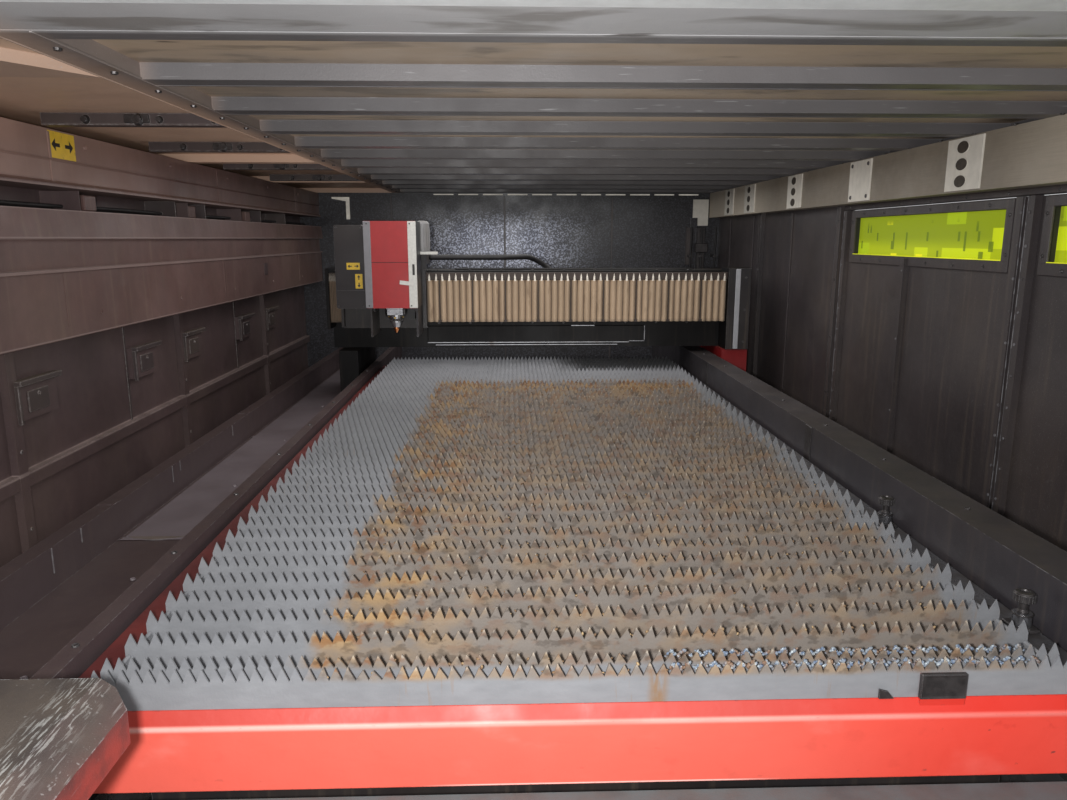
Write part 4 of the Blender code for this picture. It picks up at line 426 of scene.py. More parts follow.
@finish
def roof_paint():
    """Grey roof paint: brown fume deposits on the sheet between the ribs, smears and scratches on the ribs."""
    made = Finish("roof_paint", paint("roof"), roughness=0.5)
    made.layer(paint("roof_beam"), made.along("Y", -0.54, -0.56))
    made.shade(0.4, 5, 0.86, 1.10)
    sheet = made.product(made.span("Z", 1.9085, 1.915, 0.001), made.along("Y", -0.56, -0.54))
    fumes = made.patches(0.22, 5, 0.30, 0.60, 0.60, 1.0, stretch=(2.2, 1, 1))
    below = made.facing("Z", 0.2, 0.5, -1)
    made.layer((188, 166, 142), sheet, fumes, below)
    smear = made.patches(0.11, 5, 0.52, 0.66, stretch=(2.5, 0.8, 1), centre=(4, 1, 0), distortion=0.6)
    made.layer((92, 84, 74), smear, below, 0.55)
    soot = made.patches(0.07, 5, 0.66, 0.76, stretch=(2.2, 0.7, 1), centre=(7, 3, 0))
    made.layer((46, 36, 30), soot, below, 0.8)
    made.layer((224, 188, 162), made.along("X", -0.66, -0.80), made.facing("Z", -0.6, -0.3, -1),
               made.along("Y", -0.55, 0.3, 0.5, 0.9))
    # Painted shade: the lower parts of the roof's left bay, back from the front, are painted darker.
    shaded_back = made.product(made.along("Y", 0.05, 0.20), made.along("Z", 1.9085, 1.906))
    made.layer((64, 60, 62), shaded_back, made.along("X", -0.75, -0.70), 0.32)
    outside = made.maths("MAXIMUM", made.along("Z", 1.9130, 1.9138),
                         made.step(made.maths("ABSOLUTE", made.axis("X")), 1.4010, 1.4020))
    made.layer(paint("skin"), made.maths("MAXIMUM", outside, made.along("Y", 3.602, 3.603)))
    made.layer(BARE, made.patches(0.004, 2, 0.66, 0.74, stretch=(22, 1, 1)), 0.30)
    made.grain(0.003, 2, 0.0003)
    made.rough(0.12, 5, 0.34, 0.62)
    return made


@finish
def duct_paint():
    made = powder_coat("duct_paint", paint("duct"), roughness=0.5, dust=0.2, wear=0.2, blotches=0.12)
    # Painted light: the duct is painted lighter towards its near and far ends, where more light falls on it.
    ends = made.maths("ADD", made.along("Y", 0.5, 0.1, 0.0, 0.5), made.along("Y", 2.2, 2.7, 0.0, 0.95))
    made.layer((206, 194, 176), ends)
    made.shade(0.002, 3, 0.93, 1.07, stretch=(1, 60, 1))
    return made


@finish
def pallet_paint():
    """Glossy red paint with rubbed places, chips down to dark steel, dust, fume marks, painted highlights and
    shade.
    """
    made = Finish("pallet_paint", paint("pallet"), roughness=0.36)
    made.shade(0.5, 4, 0.92, 1.06)
    rubbed = made.patches(0.10, 5, 0.60, 0.78, stretch=(1.6, 1, 1))
    made.layer((244, 150, 138), rubbed, 0.40)
    grime = made.patches(0.03, 5, 0.62, 0.74, stretch=(1.5, 1, 1.2), centre=(2, 2, 2))
    right_end = made.along("X", 0.55, 0.95, 0.15, 1.0)
    made.layer((120, 44, 36), grime, right_end, 0.7)
    front = made.along("Y", -0.672, -0.676)
    # Painted shade: the slanted facet on top of the front is painted a darker red.
    shaded_slope = made.product(front, made.along("Z", 0.8605, 0.8635))
    made.layer((160, 30, 22), shaded_slope, 0.70)
    # Painted highlight: a pale line along the fold at the top of the front; the noise called worn only varies its
    # strength.
    worn = made.patches(0.25, 3, 0.30, 0.62, 0.35, 1.0, stretch=(1.5, 1, 1), centre=(4, 0, 0))
    made.layer((255, 224, 214), front, made.span("Z", 0.8545, 0.8610, 0.0035), worn, 0.5)
    # Painted highlight: a thin pale line along the front's lower edge, in its middle.
    made.layer((255, 224, 214), front, made.span("Z", 0.7525, 0.7545, 0.0012), made.span("X", -0.12, 0.36, 0.06),
               0.7)
    # Painted light: the front turns a deeper red towards the right, as the light's sheen on it fades.
    made.layer((236, 40, 22), front, made.along("X", 0.30, 0.75, 0.0, 0.55))
    # Painted shade: the pallet behind its front face, under the slats, is painted a dark red.
    inside = made.along("Y", -0.674, -0.664)
    made.layer((74, 32, 34), inside, made.patches(0.2, 4, 0.2, 0.6, 0.8, 0.95))
    made.rounding(0.002)
    chips = made.product(made.edges(0.003), made.patches(0.01, 4, 0.55, 0.64))
    made.layer((70, 54, 52), chips, 0.85)
    spots = made.patches(0.016, 4, 0.71, 0.75, stretch=(1.8, 1, 1), centre=(9, 1, 1))
    made.layer((62, 50, 48), spots, made.along("X", 0.45, 0.9, 0.2, 1.0), 0.8)
    made.grain(0.03, 3, 0.0009)
    made.rough(0.08, 5, 0.42, 0.62)
    return made


@finish
def head_paint():
    made = powder_coat("head_paint", paint("head"), roughness=0.36, wear=0.15, blotches=0.06)
    scuff = made.patches(0.015, 4, 0.68, 0.78, stretch=(1, 1, 2.4))
    made.layer((206, 130, 126), scuff, 0.35)
    made.layer((30, 27, 28), made.maths("SUBTRACT", 1.0, made.facing("Y", 0.3, 0.6, -1)))
    return made


@finish
def guard_paint():
    return powder_coat("guard_paint", paint("guard"), roughness=0.42, dust=0.2, streaks=0.08, blotches=0.08,
                       wear=0.2, dust_colour=(120, 112, 104))


@finish
def skin_paint():
    return powder_coat("skin_paint", paint("skin"), roughness=0.40, dust=0.12, streaks=0.05, blotches=0.03,
                       wear=0.15)


@finish
def frame_paint():
    made = powder_coat("frame_paint", paint("frame"), roughness=0.45, dust=0.3, streaks=0.12, wear=0.3)
    # Painted reflection: the top of the dark strip under the pallet's front is painted a patchy, lighter bluish
    # grey, for its soft sheen.
    sill_reflection = made.product(made.facing("Z"), made.along("Y", -0.66, -0.70), made.span("Z", 0.70, 0.76))
    made.layer((86, 106, 108), sill_reflection, made.patches(0.06, 5, 0.25, 0.7, 0.55, 1.0))
    return made


@finish
def beam_paint():
    """The gantry's darker black paint."""
    made = powder_coat("beam_paint", (13, 11, 12), roughness=0.5, dust=0.03, streaks=0.03)
    made.shader.inputs["Specular IOR Level"].default_value = 0.22
    return made


@finish
def cover_paint():
    """Dark folded covers beside the pallet, dusty on top."""
    made = powder_coat("cover_paint", (56, 53, 57), roughness=0.42, dust=0.07, streaks=0.06, wear=0.45)
    plate = made.product(made.span("X", -1.075, -0.895, 0.002), made.along("Z", 0.791, 0.793),
                         made.along("Z", 0.80, 0.796))
    made.layer((108, 84, 82), made.along("X", -0.5, -0.8, 0.0, 0.34))
    made.layer((124, 114, 118), plate, made.patches(0.2, 5, 0.2, 0.7, 0.6, 1.0))
    return made


@finish
def hood_cover_paint():
    """The drive hood's black paint: grey sheen, white scratches along its folds and a painted red reflection."""
    made = powder_coat("hood_cover_paint", (52, 49, 50), roughness=0.42, dust=0.16, wear=0.7, blotches=0.14)
    for number, stretch in enumerate(((1, 14, 1), (9, 1.4, 1), (3, 3, 1))):
        line = made.patches(0.005, 2, 0.68, 0.75, stretch=stretch, centre=(number, 2, 1))
        made.layer((160, 160, 158), line, 0.35)
    fold = made.span("X", -0.560, -0.520, 0.02)
    streak = made.patches(0.003, 4, 0.52, 0.62, stretch=(1, 9, 1), centre=(6, 1, 2))
    made.layer((180, 180, 176), fold, streak, 0.5)
    speck = made.patches(0.004, 3, 0.72, 0.77, centre=(3, 3, 3))
    made.layer((196, 196, 194), speck, 0.4)
    # Painted reflection: the side that faces the pallet is painted reddish low down, for the red pallet mirrored in
    # it.
    side = made.facing("X", 0.4, 0.9)
    low = made.along("Z", 1.045, 1.000, 0.10, 1.0)
    made.layer((150, 62, 56), side, low, made.patches(0.03, 4, 0.3, 0.6, 0.5, 0.95))
    return made


@finish
def dark_steel():
    """Blackened steel of clamps, blocks and screws."""
    made = Finish("dark_steel", (74, 70, 70), roughness=0.38, metallic=0.65)
    made.shade(0.02, 4, 0.75, 1.2)
    made.rounding(0.0008)
    made.layer(BARE, made.edges(0.001), 0.45)
    made.grain(0.0012, 2, 0.0001)
    made.rough(0.01, 3, 0.28, 0.5)
    return made


@finish
def bright_steel():
    made = Finish("bright_steel", (178, 178, 182), roughness=0.3, metallic=0.9)
    made.shade(0.05, 4, 0.8, 1.08)
    made.shade(0.0012, 2, 0.9, 1.05, stretch=(1, 30, 1))
    made.layer((120, 96, 74), made.patches(0.06, 5, 0.6, 0.75), 0.4)
    made.grain(0.0012, 2, 0.00006, stretch=(1, 20, 1))
    made.rough(0.03, 4, 0.22, 0.42)
    return made


@finish
def rail_steel():
    """Ground guide steel with an oil film and dust."""
    made = Finish("rail_steel", (150, 150, 154), roughness=0.28, metallic=0.9)
    made.shade(0.0015, 3, 0.82, 1.08, stretch=(1, 40, 1))
    made.layer((92, 74, 56), made.facing("Z"), made.patches(0.05, 5, 0.4, 0.7), 0.45)
    made.rounding(0.001)
    made.grain(0.0012, 2, 0.00008, stretch=(1, 20, 1))
    made.rough(0.05, 4, 0.20, 0.42)
    return made


@finish
def slat_steel():
    """Dull slat steel: heat tint and dark edges at the teeth, and the burnt, rusty zone."""
    choice = settings().slats
    made = Finish("slat_steel", paint("slat"), roughness=0.46, metallic=0.25)
    made.shade(0.30, 4, 0.90, 1.06)
    made.shade(0.012, 4, 0.93, 1.05, stretch=(3, 3, 1))
    # Painted light and shade: the near slats are painted darker and the far ones lighter.
    made.layer((112, 113, 118), made.along("Y", 0.5, -0.6, 0.0, 0.30))
    made.layer((200, 200, 206), made.along("Y", 1.3, 2.2, 0.0, 0.40))
    made.layer((112, 114, 122), made.along("Z", 0.925, 0.950), made.patches(0.05, 4, 0.35, 0.65), 0.45)
    ragged = made.maths("MULTIPLY", made.maths("SUBTRACT", made.noise(0.10, 5, centre=(2, 2, 0)), 0.5), 0.16)
    x, y = made.maths("ADD", made.axis("X"), ragged), made.maths("ADD", made.axis("Y"), ragged)
    across = made.product(made.step(x, choice.burnt_left - 0.02, choice.burnt_left + 0.02),
                          made.step(x, choice.burnt_right + 0.03, choice.burnt_right - 0.02))
    along = made.step(y, choice.burnt_back + 0.06, choice.burnt_back - 0.04)
    front = made.along("Y", -0.60, -0.62)
    upper = made.step(made.maths("ADD", made.axis("Z"), made.maths("MULTIPLY", ragged, 0.08)), 0.920, 0.932)
    reach = made.maths("MAXIMUM", made.maths("SUBTRACT", 1.0, front), upper)
    zone = made.product(across, along, reach)
    middle = made.product(made.step(x, choice.burnt_left + 0.10, choice.burnt_left + 0.26),
                          made.step(y, choice.burnt_back - 0.16, choice.burnt_back - 0.40))
    rim = made.product(zone, made.maths("SUBTRACT", 1.0, middle))
    made.layer((138, 122, 104), zone, 0.60)
    per_slat = (1.6, 0.22, 1)
    teeth = made.along("Z", 0.905, 0.936, 0.45, 1.0)
    deposit = made.patches(0.05, 5, 0.42, 0.62, stretch=per_slat)
    made.layer((190, 154, 106), zone, deposit, teeth, made.maths("ADD", made.product(rim, 0.45), 0.35))
    rusty = made.patches(0.024, 5, 0.50, 0.62, stretch=per_slat, centre=(5, 5, 5))
    made.layer(RUST, zone, rusty, teeth, made.maths("ADD", made.product(rim, 0.30), 0.35))
    dark = made.patches(0.020, 5, 0.54, 0.64, stretch=per_slat, centre=(1, 7, 2))
    made.layer((64, 54, 46), zone, dark, 0.42)
    tips = made.product(made.along("Z", 0.938, 0.948), made.patches(0.008, 3, 0.42, 0.56))
    made.layer((210, 198, 180), zone, tips, 0.75)
    # The far right corner of the slats is painted almost black, with soft edges; the paint rides with the pallet.
    far = made.product(made.step(y, 2.20, 2.32), made.step(x, 0.16, 0.38))
    made.layer((17, 15, 15), far, 0.90)
    drip = made.product(made.patches(0.006, 3, 0.60, 0.74, stretch=(1, 1, 12)),
                        made.patches(0.2, 3, 0.5, 0.7, centre=(8, 1, 1)))
    made.layer((150, 120, 88), drip, 0.35)
    stain = made.product(made.span("X", 0.192, 0.216, 0.010), made.patches(0.01, 4, 0.3, 0.6, stretch=(1, 1, 5)),
                         made.along("Y", -0.66, -0.67))
    made.layer((150, 112, 66), stain, 0.75)
    made.grain(0.006, 4, 0.0004)
    made.rough(0.05, 4, 0.38, 0.60)
    return made


@finish
def slag_crust():
    """Spattered melt on the front teeth: pale blue-white beads with brown burn."""
    made = Finish("slag_crust", (134, 142, 150), roughness=0.6, metallic=0.1)
    made.layer((96, 112, 136), made.patches(0.006, 4, 0.45, 0.62))
    made.layer((196, 204, 206), made.patches(0.004, 4, 0.56, 0.64, centre=(2, 2, 2)), 0.8)
    made.layer((126, 92, 60), made.patches(0.02, 4, 0.5, 0.62), 0.85)
    made.grain(0.003, 4, 0.001)
    return made


@finish
def burnt_bead():
    made = Finish("burnt_bead", (122, 96, 70), roughness=0.7)
    made.layer((176, 150, 112), made.patches(0.012, 4, 0.5, 0.65))
    made.layer((70, 52, 40), made.patches(0.02, 4, 0.55, 0.7, centre=(2, 1, 3)), 0.8)
    made.grain(0.003, 4, 0.001)
    return made


@finish
def bellows_cloth():
    """Coated cloth with a fine weave, darker towards the backs of the folds, and rubbed ridges."""
    made = Finish("bellows_cloth", paint("bellows"), roughness=0.62)
    made.shade(0.12, 4, 0.90, 1.08, stretch=(1, 1, 2))
    # Darker towards the backs of the folds.
    made.layer((70, 54, 42), made.along("Y", 2.210, 2.223), 0.85)
    ends = made.maths("ADD", made.along("Z", 1.20, 1.183), made.along("Z", 1.404, 1.424))
    made.layer((104, 86, 72), ends, made.noise(0.02, 4), 0.75)
    stain = made.patches(0.05, 5, 0.58, 0.72, stretch=(1, 1, 3), centre=(3, 1, 1))
    made.layer((112, 90, 70), stain, 0.5)
    weave = made.node("ShaderNodeTexWave", {"Vector": made.place(0.0016), "Scale": 1.0, "Distortion": 0.4},
                      wave_type="BANDS", bands_direction="Z").outputs["Fac"]
    made.relief(weave, 0.00012)
    made.grain(0.02, 4, 0.0008)
    made.shader.inputs["Sheen Weight"].default_value = 0.15
    return made


@finish
def rubber():
    made = Finish("rubber", (34, 32, 33), roughness=0.55)
    made.shade(0.02, 3, 0.85, 1.25)
    made.layer((96, 90, 86), made.facing("Z", 0.3, 0.9), made.patches(0.02, 4, 0.45, 0.7), 0.35)
    made.grain(0.002, 2, 0.0001)
    return made


@finish
def acrylic():
    """Laser-safe acrylic: glows yellow-green where the hall outside shines through it."""
    made = Finish("acrylic", paint("window"), roughness=0.12)
    made.layer((196, 206, 26), made.along("Z", 1.60, 1.545, 0.0, 0.5))
    for number, (wide, high, share, colour) in enumerate(((0.090, 0.060, 0.88, (204, 216, 30)),
                                                          (0.046, 0.034, 0.94, (240, 232, 40)),
                                                          (0.110, 0.060, 0.84, (170, 190, 30)),
                                                          (0.012, 0.030, 0.94, (96, 116, 30)))):
        grid = made.node("ShaderNodeVectorMath", {0: made.place(1.0, centre=(0, 0.013 * number, 0.007 * number)),
                                                  1: (1.0, wide, high)}, operation="SNAP").outputs[0]
        pick = made.node("ShaderNodeTexWhiteNoise", {"Vector": grid}, noise_dimensions="3D").outputs["Value"]
        lower = made.along("Z", 1.66, 1.62) if number != 2 else 1.0
        made.layer(colour, made.maths("GREATER_THAN", pick, share), lower, 0.8)
    made.shader.inputs["Transmission Weight"].default_value = 0.35
    made.shader.inputs["IOR"].default_value = 1.49
    made.glow(0.42)
    made.grain(0.06, 3, 0.0006)
    return made


@finish
def sign_yellow():
    made = Finish("sign_yellow", (238, 198, 62), roughness=0.4)
    made.shade(0.02, 4, 0.9, 1.05)
    made.layer((130, 104, 60), made.patches(0.012, 4, 0.62, 0.74), 0.5)
    return made


@finish
def screen_glass():
    """The console's screen, switched off, with finger marks."""
    made = Finish("screen_glass", (24, 27, 32), roughness=0.12)
    made.layer((70, 74, 80), made.patches(0.03, 5, 0.55, 0.75), 0.25)
    made.rough(0.04, 5, 0.08, 0.30)
    return made


@finish
def wheel_steel():
    made = Finish("wheel_steel", (138, 138, 142), roughness=0.35, metallic=0.8)
    made.shade(0.01, 4, 0.8, 1.1)
    made.layer((80, 62, 48), made.patches(0.015, 4, 0.55, 0.7), 0.5)
    made.grain(0.001, 2, 0.00005)
    return made


def coat(finish, *nodes):
    """Gives carried-over CAD nodes a finish."""
    for name in nodes:
        for entry in NODES[name].material_slots:
            entry.material = finish


# ---------------------------------------------------------------- shapes

def shape_faces(made):
    return {face for vert in made["verts"] for face in vert.link_faces}


def dress(faces, index, smooth=False):
    """Gives faces one of their piece's finishes."""
    for face in faces:
        face.material_index = index
        face.smooth = smooth


def push(mesh, grown, run):
    """Moves the end of what an extrusion has grown, and gives back its corners."""
    moved = [item for item in grown["geom"] if isinstance(item, bmesh.types.BMVert)]
    bmesh.ops.translate(mesh, vec=run, verts=moved)
    return moved


def middle_of(node):
    low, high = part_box(node)
    return (low + high) / 2


def add_block(mesh, low, high, bevel=0.0, segments=1, index=0, turn=None):
    """A box between two corners, with bevelled edges."""
    low, high = Vector(low), Vector(high)
    matrix = Matrix.Translation((low + high) / 2) @ (turn or Matrix()) @ Matrix.Diagonal((*(high - low), 1))
    made = bmesh.ops.create_cube(mesh, size=1, matrix=matrix)
    dress(shape_faces(made), index)
    if bevel:
        edges = list({edge for vert in made["verts"] for edge in vert.link_edges})
        bmesh.ops.bevel(mesh, geom=edges, offset=bevel, offset_type="OFFSET", segments=segments, profile=0.5,
                        affect="EDGES", material=-1)


def shape_verts(mesh, shape, *places, **choices):
    """Adds a shape and gives back its corners."""
    before = set(mesh.verts)
    shape(mesh, *places, **choices)
    return [vert for vert in mesh.verts if vert not in before]


def towards(direction):
    return Vector(direction).to_track_quat("Z", "Y").to_matrix().to_4x4()


def add_disc(mesh, centre, facing, radius, height, sides=10, top=0.85, sink=0.0, index=0):
    """A low round head on a face, with a bevelled rim and, with a sink, a socket in it."""
    place = Matrix.Translation(centre) @ towards(facing)
    made = bmesh.ops.create_cone(mesh, cap_ends=True, segments=sides, radius1=radius, radius2=radius * top,
                                 depth=height, matrix=place @ Matrix.Translation((0, 0, height / 2)))
    faces = shape_faces(made)
    dress(faces, index)
    if sink:
        direction = Vector(facing).normalized()
        cap = max(faces, key=lambda face: face.calc_center_median().dot(direction))
        bmesh.ops.inset_individual(mesh, faces=[cap], thickness=radius * 0.35, depth=-sink)


def spaced(start, end, step):
    """Places from a start on, one step apart, below an end."""
    places = []
    while start < end:
        places.append(start)
        start += step
    return places


def add_discs(mesh, places, *sizes, **choices):
    """Discs wherever the places given for x, y and z meet, each of them one place or several."""
    for place in itertools.product(*(item if isinstance(item, (tuple, list)) else (item,) for item in places)):
        add_disc(mesh, place, *sizes, **choices)


def add_ring(mesh, centre, facing, radius, thickness, steps=16, sides=8, index=0):
    """A torus spun round a face's normal."""
    place = Matrix.Translation(centre) @ towards(facing)
    upright = Matrix.Translation((radius, 0, 0)) @ Matrix.Rotation(math.pi / 2, 4, "X")
    made = bmesh.ops.create_circle(mesh, segments=sides, radius=thickness, cap_ends=False, matrix=place @ upright)
    edges = list({edge for vert in made["verts"] for edge in vert.link_edges})
    before = set(mesh.faces)
    bmesh.ops.spin(mesh, geom=made["verts"] + edges, cent=centre, axis=Vector(facing).normalized(), angle=math.tau,
                   steps=steps, use_merge=True)
    fresh = [face for face in mesh.faces if face not in before]
    dress(fresh, index, smooth=True)
    bmesh.ops.recalc_face_normals(mesh, faces=fresh)


def add_lathe(mesh, profile, centre, facing=UP, steps=32, index=0):
    """A profile of (radius, height) points spun round an axis through a centre."""
    place = Matrix.Translation(centre) @ towards(facing)
    points = [mesh.verts.new(place @ Vector((radius, 0, height))) for radius, height in profile]
    edges = [mesh.edges.new(pair) for pair in zip(points, points[1:])]
    before = set(mesh.faces)
    bmesh.ops.spin(mesh, geom=points + edges, cent=centre, axis=Vector(facing).normalized(), angle=math.tau,
                   steps=steps, use_merge=True)
    fresh = [face for face in mesh.faces if face not in before]
    verts = list({vert for face in fresh for vert in face.verts} | {vert for vert in points if vert.is_valid})
    bmesh.ops.remove_doubles(mesh, verts=verts, dist=1e-6)
    fresh = [face for face in mesh.faces if face not in before]
    dress(fresh, index)
    bmesh.ops.recalc_face_normals(mesh, faces=fresh)


def add_outline(mesh, corners, run, index=0):
    """A flat outline of points, extruded along a run."""
    face = mesh.faces.new([mesh.verts.new(corner) for corner in corners])
    grown = bmesh.ops.extrude_face_region(mesh, geom=[face])
    fresh = {item for vert in push(mesh, grown, run) for item in vert.link_faces} | {face}
    dress(fresh, index)
    bmesh.ops.recalc_face_normals(mesh, faces=list(fresh))
    return fresh


def add_cable(mesh, points, radius, sides=8, index=0):
    """A round cable along a smooth line of points."""
    line = bpy.data.curves.new("line", "CURVE")
    line.dimensions = "3D"
    line.bevel_depth, line.bevel_resolution = radius, max(0, sides // 4 - 1)
    line.use_fill_caps = True
    spline = line.splines.new("NURBS")
    spline.points.add(len(points) - 1)
    for point, place in zip(spline.points, points):
        point.co = (*place, 1)
    spline.use_endpoint_u, spline.order_u, spline.resolution_u = True, min(4, len(points)), 3
    carrier = bpy.data.objects.new("line", line)
    bpy.context.scene.collection.objects.link(carrier)
    tube = bpy.data.meshes.new_from_object(carrier)
    before = set(mesh.faces)
    mesh.from_mesh(tube)
    dress([face for face in mesh.faces if face not in before], index, smooth=True)
    bpy.data.objects.remove(carrier)
    bpy.data.curves.remove(line)
    bpy.data.meshes.remove(tube)


def finish_piece(mesh, name, finishes, body, replaced=(), blend=None):
    """Makes a mesh an object of the scene, riding on a body, or, given a blend, left unattached with its transform
    baked.
    """
    data = bpy.data.meshes.new(name)
    mesh.to_mesh(data)
    mesh.free()
    for finish in finishes:
        data.materials.append(finish)
    piece = bpy.data.objects.new(name, data)
    bpy.context.scene.collection.objects.link(piece)
    if blend:
        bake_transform(piece)
    else:
        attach(piece, body)
    if replaced:
        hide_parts(*replaced)
    return piece


def add_arrow_plate(name, body, centre, facing, along, width, height):
    """A plain yellow plate with a pair of arrows. facing is its normal and along its long side."""
    centre, facing, along = Vector(centre), Vector(facing), Vector(along)
    up = facing.cross(along)
    mesh = bmesh.new()

    def point(a, b, off):
        return centre + along * a + up * b + facing * off

    corners = [point(a * width / 2, b * height / 2, -0.0004) for a, b in ((-1, -1), (1, -1), (1, 1), (-1, 1))]
    plate = add_outline(mesh, corners, facing * 0.0016)
    edges = list({edge for item in plate for edge in item.edges})
    bmesh.ops.bevel(mesh, geom=edges, offset=0.0004, offset_type="OFFSET", segments=1, profile=0.5,
                    affect="EDGES", material=-1)
    tip, shaft = height * 0.24, height * 0.07
    for side in (-1, 1):
        start, middle, end = side * width * 0.10, side * width * 0.27, side * width * 0.42
        outline = ((start, -shaft), (middle, -shaft), (middle, -tip), (end, 0), (middle, tip), (middle, shaft),
                   (start, shaft))
        add_outline(mesh, [point(a, b, 0.0010) for a, b in outline], facing * 0.0004, index=1)
    finish_piece(mesh, name, [sign_yellow(), plain("sign_black")], body)


# ---------------------------------------------------------------- pieces

class MACHINE_OT_slats(bpy.types.Operator):
    """Build the saw-toothed slats with their combs and the melt that sticks to them"""
    bl_idname = "laser_cutter.slats"
    bl_label = "Slats"

    def slat(self, choice, low, high):
        """One slat at y = 0, from one tooth that is repeated along it."""
        mesh = bmesh.new()
        pitch = (high.x - low.x) / choice.teeth
        valley = high.z - choice.tooth_height
        corners = ((low.x, low.z), (low.x + pitch, low.z), (low.x + pitch, valley), (low.x + pitch / 2, high.z),
                   (low.x, valley))
        face = mesh.faces.new([mesh.verts.new((x, 0, z)) for x, z in corners])
        bmesh.ops.spin(mesh, geom=[face], cent=(0, 0, 0), axis=(0, 0, 1), dvec=(pitch, 0, 0), angle=0,
                       steps=choice.teeth - 1, use_duplicate=True)
        bmesh.ops.remove_doubles(mesh, verts=mesh.verts, dist=1e-5)
        push(mesh, bmesh.ops.extrude_face_region(mesh, geom=list(mesh.faces)), (0, choice.thickness, 0))
        bmesh.ops.recalc_face_normals(mesh, faces=mesh.faces)
        return mesh

    def is_burnt(self, choice, x, y):
        return choice.burnt_left < x < choice.burnt_right and y < choice.burnt_back

    def execute(self, context):
        choice = settings().slats
        chance = random.Random(7)
        low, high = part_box("slat_bank_front")
        single = self.slat(choice, low, high)
        pitch = (high.x - low.x) / choice.teeth
        second = low.y + choice.first_step
        places = [low.y] + [second + choice.pitch * number for number in range(choice.count - 1)]
        for node in ("slat_bank_front", "slat_bank_rear"):
            low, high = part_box(node)
            bank = bmesh.new()
            rows = [y for y in places if low.y - 0.001 <= y <= high.y]
            for y in rows:
                slat = single.copy()
                bmesh.ops.translate(slat, vec=(0, y, 0), verts=slat.verts)
                self.wear_teeth(slat, choice, chance, low.x, high.z, pitch, y)
                carrier = bpy.data.meshes.new("slat")
                slat.to_mesh(carrier)
                slat.free()
                bank.from_mesh(carrier)
                bpy.data.meshes.remove(carrier)
            self.combs(bank, low, high, rows)
            self.melt(bank, choice, chance, rows, low.x, high.z, pitch)
            finish_piece(bank, node.replace("slat_bank", "toothed_slats"),
                         [slat_steel(), slag_crust(), burnt_bead()], "pallet", replaced=(node,))
        single.free()
        return {"FINISHED"}

    def wear_teeth(self, slat, choice, chance, left, tip, pitch, y):
        """Blunts and shifts the tips a little, and much more in the burnt zone."""
        shifts = {}
        for vert in slat.verts:
            if vert.co.z < tip - 0.001:
                continue
            number = round((vert.co.x - left) / pitch - 0.5)
            if number not in shifts:
                burnt = self.is_burnt(choice, vert.co.x, y)
                shifts[number] = (chance.gauss(0, 0.0016 if burnt else 0.0006),
                                  -abs(chance.gauss(0, 0.0032 if burnt else 0.0009)))
            vert.co.x += shifts[number][0]
            vert.co.z += shifts[number][1]

    def combs(self, bank, low, high, rows):
        """The two notched side plates that hold the slats' ends."""
        top, thick = 0.915, 0.008
        for x in (low.x + SHEET, high.x - SHEET - thick):
            add_block(bank, (x, rows[0] + 0.002, low.z), (x + thick, rows[-1] + 0.002, top - 0.010))
            for y, following in zip(rows, rows[1:]):
                add_block(bank, (x, y + 0.006, top - 0.012), (x + thick, following - 0.004, top), bevel=0.003)

    def melt(self, bank, choice, chance, rows, left, tip, pitch):
        """Small beads of melt in the burnt zone, and a pale crust on the first two slats."""
        for row, y in enumerate(rows):
            crusted = row < 2 and y < -0.6
            for number in range(choice.teeth):
                x = left + (number + 0.5) * pitch
                if not self.is_burnt(choice, x, y):
                    continue
                if crusted and x > 0.22:
                    beads, size, index = 9, 0.0030, 1
                else:
                    beads, size, index = (1 if chance.random() < 0.35 else 0), 0.0026, 2
                for _ in range(beads):
                    offset = chance.uniform(-0.5, 0.5) * pitch
                    height = tip - abs(offset) / pitch * choice.tooth_height * (0.9 if index == 1 else 1.5)
                    height -= chance.uniform(0.001, 0.004)
                    radius = size * chance.uniform(0.6, 1.25)
                    place = Matrix.Translation((x + offset, y + choice.thickness / 2, min(height, tip - radius)))
                    turn = Matrix.Rotation(chance.uniform(0, 3), 4, "Y")
                    made = bmesh.ops.create_icosphere(bank, subdivisions=1, radius=radius,
                                                      matrix=place @ turn @ Matrix.Diagonal((1.3, 0.9, 0.8, 1)))
                    dress(shape_faces(made), index, smooth=True)


